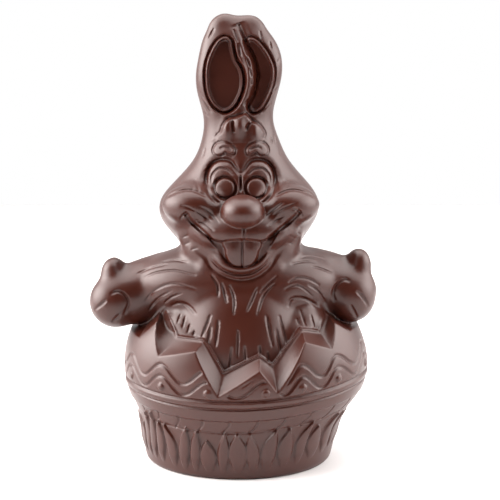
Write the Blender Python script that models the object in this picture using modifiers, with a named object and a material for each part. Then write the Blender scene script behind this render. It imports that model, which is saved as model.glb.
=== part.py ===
# Moulded chocolate rabbit that sits in a cracked egg on a round grassy base, one solid piece.
# The figure is shaped in millimetres, faces -Y, stands on z = 0 and is scaled to metres at the end.
import bpy
import bmesh
import numpy as np
from mathutils import Vector

FIGURE = "chocolate_figure"
MILLIMETRE = 0.001

# How coarsely the surface is worked, how far it is blended, and how many triangles it ends with.
BLEND_VOXEL = 1.1
BLEND_PASSES = 32
RELIEF_VOXEL = 0.7
RELIEF_PASSES = 2
TRIANGLES = 11200
SHARP_DEGREES = 35

# The relief is drawn on the upright plane y = 0 and lies on the surface along lines from the eye.
EYE = np.array((4.9, -600.0, 178.0))
FADING_TURN = 0.33    # the relief dies away where the surface turns this near to edge-on

# Ears and head, one upright mass: height, middle, half width, depth in front and behind, and how
# square its outline is from above, where 2 is an ellipse.
HEAD_TOP = 199.4
HEAD_FOOT = 79.0
HEAD_SECTIONS = (
    (197.0, -1.7, 9.4, 4.8, 5.0, 2.2),
    (190.0, -0.4, 16.2, 9.0, 8.4, 2.5),
    (182.0, 0.0, 18.7, 11.2, 10.0, 3.0),
    (173.0, -0.5, 19.5, 12.5, 11.0, 3.0),
    (163.0, -1.0, 17.6, 13.4, 11.7, 2.6),
    (153.0, -0.2, 15.5, 14.4, 12.6, 2.2),
    (145.0, 0.6, 17.3, 17.0, 15.4, 2.0),
    (136.0, 0.6, 21.6, 20.5, 19.8, 2.0),
    (127.0, 0.5, 29.2, 23.5, 23.8, 2.0),
    (117.0, 0.1, 35.8, 26.5, 26.5, 2.1),
    (108.0, -0.2, 33.8, 29.0, 26.5, 2.4),
    (99.0, 0.0, 28.4, 26.5, 24.0, 2.4),
    (90.0, 0.5, 20.5, 21.0, 20.0, 2.2),
    (84.0, 0.7, 12.0, 16.0, 14.0, 2.0),
)

# The trunk inside the egg, in the same order.
TRUNK_TOP = 108.0
TRUNK_FOOT = 20.0
TRUNK_SECTIONS = (
    (100.0, 0.5, 20.0, 17.0, 20.0, 2.0),
    (92.0, 0.5, 25.0, 24.0, 25.0, 2.0),
    (83.0, 0.7, 28.0, 30.5, 28.5, 2.2),
    (74.0, 0.7, 29.0, 35.5, 31.0, 2.6),
    (65.0, 0.7, 29.5, 38.5, 33.0, 2.8),
    (55.0, 0.7, 30.5, 40.5, 34.0, 2.8),
    (44.0, 0.7, 30.5, 40.5, 34.0, 2.5),
    (30.0, 0.5, 26.0, 35.0, 30.0, 2.0),
)

# Round masses blended on: middle, half sizes.
EAR_TIPS = (
    ((-6.8, -0.4, 191.2), (8.6, 6.4, 9.0)),
    ((3.0, -0.4, 190.8), (8.8, 6.4, 9.0)),
)
CHEEKS = (
    ((-18.3, -19.0, 117.3), (15.5, 14.0, 9.5)),
    ((20.0, -19.0, 117.3), (15.5, 14.0, 9.5)),
)
MUZZLE = (
    ((1.5, -18.0, 107.0), (25.0, 19.5, 11.5)),
    ((1.5, -15.0, 94.5), (17.5, 19.5, 11.5)),
)
LOWER_LIP = (
    ((-22.5, -17.5, 104.0), (4.6, 4.6, 5.6)),
    ((-18.0, -20.5, 98.6), (4.8, 4.8, 5.8)),
    ((-13.0, -23.5, 92.4), (5.0, 5.0, 5.6)),
    ((-7.5, -25.5, 87.4), (5.4, 5.0, 4.8)),
    ((0.8, -26.5, 85.4), (6.2, 5.0, 4.4)),
    ((9.0, -25.5, 87.2), (5.4, 5.0, 4.8)),
    ((14.4, -23.5, 92.2), (5.0, 5.0, 5.6)),
    ((19.2, -20.5, 98.4), (4.8, 4.8, 5.8)),
    ((23.7, -17.5, 104.0), (4.6, 4.6, 5.6)),
)
SHOULDERS = (
    ((0.5, -4.0, 81.5), (48.0, 27.5, 18.5)),
    ((-25.0, -4.5, 79.0), (22.0, 16.0, 15.0)),
    ((26.0, -4.5, 81.0), (22.0, 16.0, 15.0)),
)
HAUNCHES = (
    ((-23.5, -9.0, 60.0), (16.5, 18.0, 14.5)),
    ((-21.0, -17.5, 55.0), (16.5, 16.5, 15.0)),
    ((27.5, -9.0, 61.5), (16.5, 18.0, 14.5)),
    ((25.0, -17.5, 57.0), (16.5, 16.5, 15.0)),
)
PAWS = (
    ((-54.6, -7.0, 74.0), (12.0, 12.5, 12.8)),
    ((50.0, -7.0, 75.6), (11.6, 12.5, 12.8)),
)
THUMBS = (
    ((-56.2, -5.0, 84.6), (6.2, 7.5, 8.0)),
    ((53.6, -5.0, 88.4), (6.0, 7.5, 8.4)),
)
LAP = (((2.9, 0.0, 40.0), (46.0, 42.0, 43.0)),)
ROUND_MASSES = EAR_TIPS + CHEEKS + MUZZLE + LOWER_LIP + SHOULDERS + HAUNCHES + PAWS + THUMBS + LAP

# Arms: points along the middle and the radius there.
ARM_STEPS = 25
ARMS = (
    ((-10, -3, 84, 15.5), (-31, 0, 79.2, 15.4), (-45, -3, 75.8, 14.4), (-54, -6, 74.4, 12.0)),
    ((10, -3, 84, 15.5), (31, 0, 81.0, 15.4), (43, -3, 78.6, 14.6), (50, -6, 77.2, 12.0)),
)

NOSE = ((1.7, -32.5, 115.8), (9.3, 10.5, 7.2))

# Egg and base: height, middle, half width, depth in front and behind.
EGG_SECTIONS = (
    (0.0, -0.4, 42.0, 41.0),
    (10.0, -0.2, 44.2, 42.9),
    (19.5, 0.6, 46.6, 44.8),
    (24.0, 1.4, 48.6, 45.9),
    (29.0, 2.3, 51.7, 47.6),
    (36.0, 2.9, 54.5, 50.2),
    (43.0, 3.1, 55.4, 51.0),
    (50.0, 3.0, 54.9, 50.5),
    (57.0, 2.8, 53.0, 48.8),
    (64.0, 2.8, 49.8, 45.8),
    (71.0, 2.8, 45.0, 41.4),
)
FOOT = -0.5
FOOT_ROUNDING = 2.6
FOOT_STEPS = (0.3, 0.6, 0.85, 1.0)
SHELL = 6.0
LIP_RINGS = ((0.0, 0.01), (1.3, 0.2), (1.3, 1.4), (-1.5, 1.7))    # height and depth beyond the crack
WELL_FOOT = 40.0
WELL_DEPTH = 22.0
WELL_MIDDLE = 38.0
COLUMNS_PER_EDGE = 14
ROWS = 44

# The cracked rim, round the egg: azimuth and height of its inner edge, then of its outer edge.
FRONT_RIM = (
    (-102, 62.5, -99, 60.5),
    (-86, 62.5, -83, 60.0),
    (-80, 63.5, -63, 59.0),
    (-69, 69.3, -53.2, 67.0),
    (-41.3, 60.1, -43.9, 53.3),
    (-23.3, 60.0, -23.5, 57.5),
    (-11.3, 46.9, -12.4, 38.5),
    (7.3, 54.2, 6.3, 50.3),
    (13.9, 49.9, 14.1, 40.2),
    (34.0, 63.7, 29.6, 60.8),
    (47.2, 61.7, 44.7, 56.4),
    (63.4, 67.7, 53.5, 66.5),
    (74.0, 64.5, 64.0, 61.5),
    (86.0, 63.5, 80.0, 61.5),
    (102.0, 63.5, 99.0, 61.5),
)
BACK_TEETH = 6
BACK_PEAK = (65.0, 62.5)
BACK_NOTCH = (56.0, 48.5)


def spline(places, values):
    """A smooth curve through the values, straight beyond its ends."""
    x = np.array(places, dtype=float)
    y = np.array(values, dtype=float)
    count = len(x)
    step = np.diff(x)
    system = np.eye(count)
    bend = np.zeros(count)
    for i in range(1, count - 1):
        system[i, i - 1:i + 2] = step[i - 1], 2 * (step[i - 1] + step[i]), step[i]
        bend[i] = 6 * ((y[i + 1] - y[i]) / step[i] - (y[i] - y[i - 1]) / step[i - 1])
    curve = np.linalg.solve(system, bend)

    def at(place):
        place = np.clip(np.asarray(place, dtype=float), x[0], x[-1])
        i = np.clip(np.searchsorted(x, place) - 1, 0, count - 2)
        a = (x[i + 1] - place) / step[i]
        b = 1 - a
        bow = (a ** 3 - a) * curve[i] + (b ** 3 - b) * curve[i + 1]
        return a * y[i] + b * y[i + 1] + bow * step[i] ** 2 / 6

    return at


def new_object(name, shape):
    mesh = bpy.data.meshes.new(name)
    shape.to_mesh(mesh)
    shape.free()
    body = bpy.data.objects.new(name, mesh)
    bpy.context.scene.collection.objects.link(body)
    return body


def points_of(body):
    points = np.empty(len(body.data.vertices) * 3)
    body.data.vertices.foreach_get("co", points)
    return points.reshape(-1, 3)


def normals_of(body):
    normals = np.empty(len(body.data.vertices) * 3)
    body.data.vertices.foreach_get("normal", normals)
    return normals.reshape(-1, 3)


def move_points(body, points):
    body.data.vertices.foreach_set("co", points.ravel())
    body.data.update()


def ball(name, middle, sizes, segments=64, rings=32):
    shape = bmesh.new()
    bmesh.ops.create_uvsphere(shape, u_segments=segments, v_segments=rings, radius=1.0)
    bmesh.ops.scale(shape, vec=Vector(sizes), verts=shape.verts)
    bmesh.ops.translate(shape, vec=Vector(middle), verts=shape.verts)
    return new_object(name, shape)


def upright_mass(name, foot, top, sections):
    """A ball drawn out between foot and top so that it has the given widths and depths."""
    body = ball(name, (0, 0, 0), (1, 1, 1), 128, 96)
    x, y, z = points_of(body).T
    table = np.array(sections[::-1])
    reach = (top - foot) / 2
    height = foot + reach * (z + 1)
    fullness = np.sqrt(1 - ((table[:, 0] - foot) / reach - 1) ** 2)
    middle = spline(table[:, 0], table[:, 1])(height)
    width = spline(table[:, 0], table[:, 2] / fullness)(height)
    front = spline(table[:, 0], table[:, 3] / fullness)(height)
    back = spline(table[:, 0], table[:, 4] / fullness)(height)
    depth = np.where(y < 0, front, back)
    round_share = 2 / spline(table[:, 0], table[:, 5])(height)
    reach = np.hypot(x, y) + 1e-9
    x = np.sign(x) * reach * np.abs(x / reach) ** round_share
    y = np.sign(y) * reach * np.abs(y / reach) ** round_share
    move_points(body, np.stack((middle + width * x, depth * y, height), axis=1))
    return body


def limb(name, stations):
    """A round tube through the stations, with rounded ends."""
    curve = bpy.data.curves.new(name, "CURVE")
    curve.dimensions = "3D"
    curve.bevel_depth = 1.0
    curve.bevel_resolution = 8
    curve.use_fill_caps = True
    path = curve.splines.new("POLY")
    table = np.array(stations, dtype=float)
    along = np.linspace(0, len(table) - 1, ARM_STEPS)
    smooth = np.stack([spline(range(len(table)), column)(along) for column in table.T], axis=1)
    path.points.add(len(smooth) - 1)
    for point, (x, y, z, radius) in zip(path.points, smooth):
        point.co = (x, y, z, 1.0)
        point.radius = radius
    source = bpy.data.objects.new(name, curve)
    bpy.context.scene.collection.objects.link(source)
    bpy.context.view_layer.update()
    shape = bmesh.new()
    shape.from_mesh(source.evaluated_get(bpy.context.evaluated_depsgraph_get()).to_mesh())
    bmesh.ops.remove_doubles(shape, verts=shape.verts, dist=0.01)
    bpy.data.objects.remove(source)
    bpy.data.curves.remove(curve)
    return new_object(name, shape)


class Relief:
    """Heights to be raised on a body, drawn in a flat picture of its surface."""

    def __init__(self, across, up):
        self.across = across
        self.up = up
        self.height = np.zeros(len(across))

    def near(self, path, margin):
        """Which points lie near a path, how far from it, on which side, and how far along."""
        path = np.array(path)
        low = path.min(axis=0) - margin
        high = path.max(axis=0) + margin
        inside = (self.across > low[0]) & (self.across < high[0])
        inside &= (self.up > low[1]) & (self.up < high[1])
        chosen = np.flatnonzero(inside)
        spot = np.stack((self.across[chosen], self.up[chosen]), axis=1)
        distance = np.full(len(chosen), np.inf)
        side = np.zeros(len(chosen))
        share = np.zeros(len(chosen))
        for i, (start, end) in enumerate(zip(path, path[1:])):
            run = end - start
            length = run @ run + 1e-12
            t = np.clip((spot - start) @ run / length, 0, 1)
            gap = spot - start - t[:, None] * run
            reach = np.hypot(gap[:, 0], gap[:, 1])
            closer = reach < distance
            turn = run[0] * gap[:, 1] - run[1] * gap[:, 0]
            distance[closer] = reach[closer]
            side[closer] = np.sign(turn)[closer]
            share[closer] = (i + t[closer]) / (len(path) - 1)
        return chosen, distance, side, share

    def line(self, points, width, rise, tapered=True):
        """A ridge, or a groove where the rise is negative, with soft sides."""
        chosen, distance, side, share = self.near(curve_through(points), width)
        bell = np.clip(1 - (distance / width) ** 2, 0, 1) ** 2
        ends = np.sqrt(np.clip(np.sin(np.pi * share), 0, 1)) if tapered else 1.0
        self.height[chosen] += rise * bell * ends

    def inside_share(self, outline, slope):
        """1 for the points inside an outline and 0 outside, with a soft edge."""
        path = curve_through(outline, closed=True)
        chosen, distance, side, share = self.near(path, slope)
        within = inside_outline(self.across[chosen], self.up[chosen], path)
        return chosen, soft_step(np.where(within, distance, -distance) / slope + 0.5)

    def area(self, outline, rise, slope, foot=None, fade=1.0):
        """A raised or sunk area with an even slope along its edge, dying away down to its foot."""
        chosen, share = self.inside_share(outline, slope)
        if foot is not None:
            share = share * soft_step((self.up[chosen] - foot) / fade)
        self.height[chosen] += rise * share

    def level(self, outline, above, slope):
        """A hollow with a flat floor that far below the surface."""
        chosen, share = self.inside_share(outline, slope)
        self.height[chosen] += (above[chosen] - self.height[chosen]) * share

    def bank(self, points, rise, edge, fade, side_wanted=1):
        """A step up along a line that dies away on its raised side."""
        chosen, distance, side, share = self.near(curve_through(points), 3 * fade)
        away = distance * side * side_wanted
        ends = soft_step(4 * share) * soft_step(4 * (1 - share))
        fall = np.exp(-np.clip(away, 0, None) ** 2 / fade ** 2)
        self.height[chosen] += rise * soft_step(away / edge + 0.5) * fall * ends

    def hoop(self, level, width, rise):
        """A ridge or groove that runs level right round."""
        self.height += rise * np.clip(1 - ((self.up - level) / width) ** 2, 0, 1) ** 2

    def dome(self, middle, sizes, rise):
        """A rounded boss or, where the rise is negative, a dimple."""
        away = ((self.across - middle[0]) / sizes[0]) ** 2 + ((self.up - middle[1]) / sizes[1]) ** 2
        self.height += rise * np.sqrt(np.clip(1 - away, 0, 1))

    def swell(self, middle, sizes, rise):
        """A broad soft rise without an edge."""
        away = ((self.across - middle[0]) / sizes[0]) ** 2 + ((self.up - middle[1]) / sizes[1]) ** 2
        self.height += rise * np.exp(-away)


def soft_step(t):
    t = np.clip(t, 0, 1)
    return t * t * (3 - 2 * t)


def curve_through(points, closed=False, pieces=6):
    """A rounded line through the points."""
    points = np.array(points, dtype=float)
    if closed:
        guard = np.concatenate((points[-1:], points, points[:2]))
    else:
        guard = np.concatenate((2 * points[:1] - points[1:2], points, 2 * points[-1:] - points[-2:-1]))
    path = []
    for before, start, end, after in zip(guard, guard[1:], guard[2:], guard[3:]):
        for piece in range(pieces):
            t = piece / pieces
            path.append(start + 0.5 * t * (end - before + t * (2 * before - 5 * start + 4 * end - after
                        + t * (3 * (start - end) + after - before))))
    path.append(guard[-2])
    return np.array(path)


def inside_outline(across, up, path):
    within = np.zeros(len(across), dtype=bool)
    for start, end in zip(path, np.roll(path, -1, axis=0)):
        spans = (start[1] > up) != (end[1] > up)
        rise = end[1] - start[1]
        if rise:
            within ^= spans & (across < start[0] + (up - start[1]) * (end[0] - start[0]) / rise)
    return within


def widened(outline, margin):
    """A closed outline moved outwards."""
    points = np.array(outline)
    onward = np.roll(points, -1, axis=0)
    run = onward - np.roll(points, 1, axis=0)
    outward = np.stack((run[:, 1], -run[:, 0]), axis=1) / np.linalg.norm(run, axis=1)[:, None]
    area = (points[:, 0] * onward[:, 1] - points[:, 1] * onward[:, 0]).sum()
    return points + margin * np.sign(area) * outward


def mirrored(points, axis=0.7):
    return tuple((2 * axis - across, up) for across, up in points)


# Relief seen from the front: places across and up on the upright plane.
EAR_HOLLOWS = (
    ((-6.2, 189.5), (-9.3, 187.7), (-12.2, 182.9), (-14.0, 177.2), (-14.3, 171.0), (-13.4, 164.9),
     (-10.7, 160.0), (-6.7, 157.5), (-2.7, 159.5), (0.2, 164.4), (1.5, 170.2), (0.7, 175.4),
     (-1.8, 179.8), (-3.1, 184.2), (-4.0, 188.2)),
    ((3.4, 188.0), (4.9, 189.1), (7.6, 188.2), (11.1, 184.5), (13.8, 179.8), (15.1, 175.4),
     (14.7, 170.2), (12.5, 164.0), (9.4, 158.7), (6.2, 157.3), (4.9, 159.5), (6.9, 164.4),
     (8.5, 171.0), (7.6, 179.0), (4.9, 184.7)),
)
EAR_MARGIN = 1.5
EAR_FLOOR = -7.8
EAR_SLOPE = 1.6
EAR_CREASE = ((-0.4, 196.0), (0.9, 192.5), (2.5, 189.0), (4.5, 185.5), (6.7, 181.2), (8.1, 176.3),
              (8.2, 171.9), (7.1, 165.7), (4.9, 160.4), (3.1, 156.4))
EAR_RIDGE = ((-1.3, 194.3), (0.5, 189.5), (3.6, 183.4), (5.3, 177.2), (5.6, 170.2), (4.0, 163.5),
             (1.3, 157.8))
TUFT = ((-11.0, 143.5), (-9.9, 146.2), (-8.1, 148.0), (-7.6, 149.8), (-6.3, 152.2), (-4.5, 154.0),
        (-2.2, 154.4), (0.4, 155.3), (2.7, 156.2), (4.0, 155.3), (5.1, 154.0), (6.0, 152.7),
        (8.0, 151.8), (9.8, 150.2), (11.4, 147.5), (10.9, 145.3), (10.5, 143.5))
TUFT_SHAPE = (2.3, 1.2, 143.0, 8.0)
BROW = ((-11.4, 139.5), (-10.8, 141.7), (-9.0, 143.1), (-6.3, 143.1), (-3.6, 142.0), (-2.0, 139.9),
        (-2.7, 137.9), (-4.5, 138.4), (-6.3, 139.1), (-8.1, 137.7), (-10.3, 137.9))
BROW_SHAPE = (1.1, 1.4)
EYE_HEART = ((0.6, 128.7), (-1.4, 131.9), (-3.6, 134.8), (-6.3, 135.7), (-9.0, 135.5), (-11.7, 134.1),
             (-13.7, 131.4), (-14.7, 127.8), (-14.6, 123.8), (-13.5, 120.2), (-11.3, 117.5),
             (-9.1, 115.7))
EYE_LID = ((-12.5, 124.3), (-12.1, 128.4), (-9.9, 131.3), (-7.7, 131.8), (-5.0, 131.0), (-2.3, 128.5))
EYEBALL = (-6.3, 122.9)
EYEBALL_SIZES = (4.6, 4.6)
EYEBALL_RISE = 1.6
MOUTH = ((-14.3, 101.3), (-11.8, 99.6), (-8.7, 98.6), (-5.0, 98.2), (-1.4, 98.4), (1.5, 99.2),
         (4.9, 98.2), (8.1, 98.2), (11.7, 99.3), (14.8, 101.4), (17.4, 103.2), (16.2, 100.2),
         (13.9, 95.7), (11.2, 91.5), (7.6, 88.3), (4.0, 87.0), (0.4, 86.5), (-3.3, 87.2),
         (-6.0, 89.3), (-8.7, 92.9), (-11.4, 96.6))
TEETH = ((-6.4, 98.9), (-6.2, 94.7), (-5.5, 91.1), (-3.3, 87.9), (0.8, 86.8), (4.9, 87.4),
         (7.2, 89.7), (8.5, 93.4), (9.0, 98.9))
MOUTH_TOP = 99.0
MOUTH_SLOPE = 1.3
MOUTH_FLOOR = (-29.2, -0.02)    # depth at the top, and how much it lessens for each millimetre down
TOOTH_FACE = (-33.6, 0.10)
CHEEK_CREASE = ((-33.5, 118.3), (-29.0, 120.6), (-23.8, 121.9), (-19.5, 121.3), (-14.8, 119.0))

# Lines of the relief: places, half width and rise, where a groove's rise is negative.
EAR_LINES = (
    (EAR_CREASE, 4.4, -2.4),
    (EAR_RIDGE, 3.0, 1.0),
)
MIRRORED_LINES = (
    (EYE_HEART, 3.4, -1.0),
    (EYE_HEART, 1.35, -1.7),
    (EYE_LID, 0.9, -0.9),
    (CHEEK_CREASE, 1.4, -1.2),
)
FRONT_LINES = (
    (EAR_CREASE, 1.0, -1.4),
    (((-2.7, 154.2), (-2.9, 150.7), (-2.3, 147.5)), 1.1, -1.3),
    (((5.9, 153.0), (5.0, 152.2), (3.8, 150.9), (3.3, 148.4)), 1.1, -1.3),
    (((0.7, 128.8), (0.7, 125.0), (0.7, 121.0)), 0.9, -1.6),
    (((-24.6, 112.0), (-21.3, 107.5), (-17.7, 104.3), (-14.5, 101.6), (-12.4, 100.0)), 1.5, -2.2),
    (((27.6, 113.0), (22.9, 107.9), (18.4, 104.3), (14.8, 101.4), (12.8, 100.0)), 1.5, -2.2),
    (((1.4, 98.6), (1.4, 93.0), (1.4, 87.2)), 0.8, -1.0),
    (((2.2, 104.4), (2.2, 99.8)), 0.9, -0.9),
    (((-13.9, 89.9), (-10.1, 85.9), (-4.6, 83.1), (0.8, 82.2), (6.7, 83.3), (11.2, 86.3),
      (15.1, 90.4)), 1.3, 0.8),
    (((-58.6, 74.4), (-55.1, 75.8), (-52.0, 74.1), (-50.3, 70.5), (-52.5, 64.9)), 1.3, -1.2),
    (((-66.0, 67.0), (-60.4, 71.6)), 1.3, -1.2),
    (((-58.1, 61.7), (-54.2, 65.2)), 1.3, -1.2),
    (((50.4, 80.3), (47.4, 81.2), (44.0, 78.8), (42.6, 74.5), (43.8, 71.0)), 1.3, -1.2),
    (((53.2, 76.0), (56.3, 72.9), (58.8, 68.6)), 1.3, -1.2),
    (((50.5, 69.8), (53.7, 63.6)), 1.3, -1.2),
)

# Strokes of fur on the arms, the haunches and the chest.
FUR_HALF_WIDTH = 1.0
FUR_DEPTH = 0.9
FUR = (
    ((-46.7, 83.6), (-40.1, 86.4), (-32.1, 88.3)), ((-34.8, 89.2), (-28.9, 89.9), (-23.1, 89.0)),
    ((-43.2, 82.2), (-37.0, 84.6), (-28.6, 85.3), (-19.3, 83.0)),
    ((-43.0, 71.2), (-38.8, 75.8), (-33.5, 78.6), (-28.3, 79.2), (-19.3, 76.7)),
    ((-41.3, 67.0), (-37.1, 72.3), (-30.1, 76.5)), ((-34.3, 70.2), (-30.8, 73.0), (-25.6, 75.1)),
    ((27.9, 91.2), (32.7, 91.7), (39.1, 90.1)), ((23.3, 88.1), (29.1, 89.4), (34.9, 89.1)),
    ((32.5, 87.2), (37.3, 86.1), (41.9, 84.1)),
    ((22.2, 79.7), (26.1, 82.0), (31.3, 81.5), (36.5, 78.6)),
    ((20.4, 76.3), (24.0, 78.1), (27.6, 78.1), (33.8, 73.2)), ((31.3, 78.8), (35.6, 76.0), (39.6, 70.1)),
    ((-28.1, 59.5), (-24.9, 66.6)), ((-25.7, 55.3), (-23.9, 63.1)), ((27.7, 67.3), (30.2, 59.6)),
    ((32.6, 65.2), (34.2, 58.6)), ((-12.7, 83.4), (-9.9, 78.7), (-9.6, 73.1)),
    ((-7.8, 79.7), (-5.5, 70.2)), ((-4.4, 78.7), (-2.3, 72.3), (-2.6, 64.6)), ((8.4, 77.6), (3.4, 66.2)),
    ((17.2, 82.9), (9.2, 75.0)), ((16.4, 79.7), (11.2, 73.9), (8.1, 64.6)), ((-9.4, 62.8), (-10.8, 49.9)),
    ((-0.5, 58.0), (-0.8, 44.6)), ((12.3, 64.9), (15.2, 49.9)), ((18.1, 64.9), (21.8, 51.0)),
    ((-12.9, 65.1), (-17.2, 54.2)),
)

# The folds over the haunches: places, then rise, softness of the edge and reach below it.
FOLDS = (
    ((-33.6, 67.0), (-31.2, 69.1), (-27.0, 70.2), (-22.8, 68.9), (-19.5, 65.1)),
    ((22.2, 68.4), (23.3, 71.8), (25.9, 72.8), (30.0, 72.3), (33.7, 70.2), (39.0, 65.4)),
)
FOLD_SHAPE = (1.8, 1.4, 8.0, -1)

# Bands and figures round the egg: heights in front, and how they rise with the egg's tilt.
RINGS = (36.9, 33.2)
RING_SHAPE = (0.9, -0.8)
BAND_SHAPE = (2.2, 0.5)
BAND_FOOT = 27.2
BAND_STEP = 0.8
BAND_EDGE = 0.9
BAND_FADE = (3.0, 12.0)    # the step dies away from this height down, over this length
TILE_FOOT = 21.8
TILES = 26
TILE_START = 7.6
TILE_EDGE = ((0.0, 27.4), (-0.6, 24.8), (-2.8, 21.9))
TILE_SHAPE = (0.8, -0.6)
TILT = 0.035
SIDE_RISE = 3.7
FRONT_CRESTS = (-66.1, -41.3, -17.0, 8.8, 26.1, 46.4, 75.0)
BACK_CRESTS = 8
WAVE_HEIGHT = 3.3
WAVE_LEVELS = (46.7, 41.8)
WAVE_SHAPE = (1.0, -0.8)
DOME_LEVEL = 40.2
DOME_SIZES = (1.7, 1.7)
DOME_RISE = 1.0
DEGREE = 0.87

# Blades of grass: place of the tip round the base, its height, and the two sides of the foot.
FRONT_BLADES = (
    (-54.0, 24.5, -58.5, -52.5), (-48.0, 25.5, -53.0, -47.0), (-43.6, 23.0, -46.5, -40.5),
    (-39.6, 22.0, -38.0, -31.4), (-26.4, 22.9, -31.2, -24.9), (-20.8, 22.1, -24.4, -19.0),
    (-15.6, 18.0, -18.6, -10.4), (-7.1, 21.8, -10.0, -4.6), (-1.7, 21.4, -4.2, 4.6),
    (4.3, 20.7, 4.6, 10.8), (16.2, 21.6, 10.6, 18.2), (22.9, 21.3, 19.4, 27.4),
    (34.7, 22.2, 28.2, 34.8), (40.2, 18.6, 36.0, 45.5), (53.0, 20.6, 46.5, 54.5),
)
BACK_BLADES = 34
BACK_TIPS = (17.5, 20.5)
BACK_LEAN = (-0.1, 1.1)
BACK_WIDTHS = (0.9, 1.2)
GRASS_SEED = 4
GRASS_FADE = (1.0, 9.0)
BLADE_FOOT = 4.5
BLADE_RISE = 1.2
BLADE_LOW = 0.45      # the share of the rise along a blade's left side
BLADE_EDGE = 1.2
# A blade's side, from the foot up: shares of its half width, of its lean and of its height.
BLADE_SIDE = ((0.7, 0.0, -0.06), (1.0, 0.0, 0.23), (0.85, 0.25, 0.51), (0.3, 0.8, 0.83))

# How far the egg's figures keep from the rim, where its skin ends inwards, and the plain foot.
RIM_MARGIN = 1.2
SKIN_START = 0.965
SKIN_EDGE = 0.02
PLAIN_FOOT = 1.5


def front_relief(body):
    """The ears, the face, the paws and the fur, drawn as seen from the front."""
    points = points_of(body)
    scale = -EYE[1] / (points[:, 1] - EYE[1])
    relief = Relief(EYE[0] + (points[:, 0] - EYE[0]) * scale, EYE[2] + (points[:, 2] - EYE[2]) * scale)
    for line in EAR_LINES:
        relief.line(*line)
    for hollow in EAR_HOLLOWS:
        relief.level(widened(hollow, EAR_MARGIN), points[:, 1] - EAR_FLOOR, EAR_SLOPE)
    relief.area(TUFT, *TUFT_SHAPE)
    for flip in (tuple, mirrored):
        relief.area(flip(BROW), *BROW_SHAPE)
        for places, width, rise in MIRRORED_LINES:
            relief.line(flip(places), width, rise)
        relief.dome(flip((EYEBALL,))[0], EYEBALL_SIZES, EYEBALL_RISE)
    down = MOUTH_TOP - relief.up
    for outline, (depth, slant) in ((MOUTH, MOUTH_FLOOR), (TEETH, TOOTH_FACE)):
        relief.level(outline, points[:, 1] - depth - slant * down, MOUTH_SLOPE)
    for line in FRONT_LINES:
        relief.line(*line)
    for fold in FOLDS:
        relief.bank(fold, *FOLD_SHAPE)
    for stroke in FUR:
        relief.line(stroke, FUR_HALF_WIDTH, -FUR_DEPTH)
    towards = EYE - points
    towards /= np.linalg.norm(towards, axis=1)[:, None]
    facing = (normals_of(body) * towards).sum(axis=1)
    move_points(body, points + towards * (relief.height * soft_step(facing / FADING_TURN))[:, None])


def draw_bands(relief):
    for ring in RINGS:
        relief.hoop(ring, *RING_SHAPE)
    relief.hoop(sum(RINGS) / 2, *BAND_SHAPE)
    below = soft_step((BAND_FOOT - relief.up) / BAND_EDGE + 0.5)
    relief.height -= BAND_STEP * below * soft_step((relief.up - BAND_FADE[0]) / BAND_FADE[1])
    relief.hoop(TILE_FOOT, *TILE_SHAPE)
    for tile in range(-TILES // 2, TILES // 2):
        start = (360 / TILES * tile + TILE_START) * DEGREE
        edge = [(start + across, up) for across, up in TILE_EDGE]
        relief.line(edge, *TILE_SHAPE, tapered=False)


def draw_waves(relief):
    back = np.linspace(FRONT_CRESTS[-1], FRONT_CRESTS[0] + 360, BACK_CRESTS + 2)[1:]
    crests = np.concatenate((FRONT_CRESTS, back))
    turns = np.arange(FRONT_CRESTS[0], FRONT_CRESTS[0] + 361, 2.0)
    swing = np.cos(2 * np.pi * np.interp(turns, crests, range(len(crests))))
    for level in WAVE_LEVELS:
        wave = np.stack((turns * DEGREE, level + WAVE_HEIGHT * swing), axis=1)
        relief.line(wave, *WAVE_SHAPE, tapered=False)
    for crest in crests[:-1]:
        relief.dome((crest * DEGREE, DOME_LEVEL), DOME_SIZES, DOME_RISE)


def draw_blade(relief, tip, top, left, right):
    """A pointed leaf, highest along its right side, where the next one begins."""
    half = (right - left) / 2
    middle = (left + right) / 2
    lean = tip - middle
    rise = top - BLADE_FOOT
    outline = [(middle - out * half + bend * lean, BLADE_FOOT + up * rise) for out, bend, up in BLADE_SIDE]
    outline.append((tip, top))
    outline += [(middle + out * half + bend * lean, BLADE_FOOT + up * rise)
                for out, bend, up in reversed(BLADE_SIDE)]
    chosen, share = relief.inside_share(outline, BLADE_EDGE)
    across = relief.across[chosen] - middle
    upward = np.clip((relief.up[chosen] - BLADE_FOOT) / rise, 0, 1)
    over = np.clip(0.5 + 0.5 * (across - lean * upward ** 2) / half, 0, 1)
    height = BLADE_RISE * share * (BLADE_LOW + (1 - BLADE_LOW) * over)
    relief.height[chosen] = np.maximum(relief.height[chosen], height)


def draw_grass(relief):
    chance = np.random.default_rng(GRASS_SEED)
    blades = Relief(relief.across, relief.up)
    for blade in FRONT_BLADES:
        draw_blade(blades, *blade)
    start = FRONT_BLADES[-1][3]
    around = 360 * DEGREE
    width = (around + FRONT_BLADES[0][2] - start) / BACK_BLADES
    for blade in range(BACK_BLADES):
        left = start + width * blade
        if left + width / 2 > around / 2:
            left -= around
        tip = left + width * chance.uniform(*BACK_LEAN)
        right = left + width * chance.uniform(*BACK_WIDTHS)
        draw_blade(blades, tip, chance.uniform(*BACK_TIPS), left, right)
    relief.height += blades.height * soft_step((relief.up - GRASS_FADE[0]) / GRASS_FADE[1])


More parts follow.
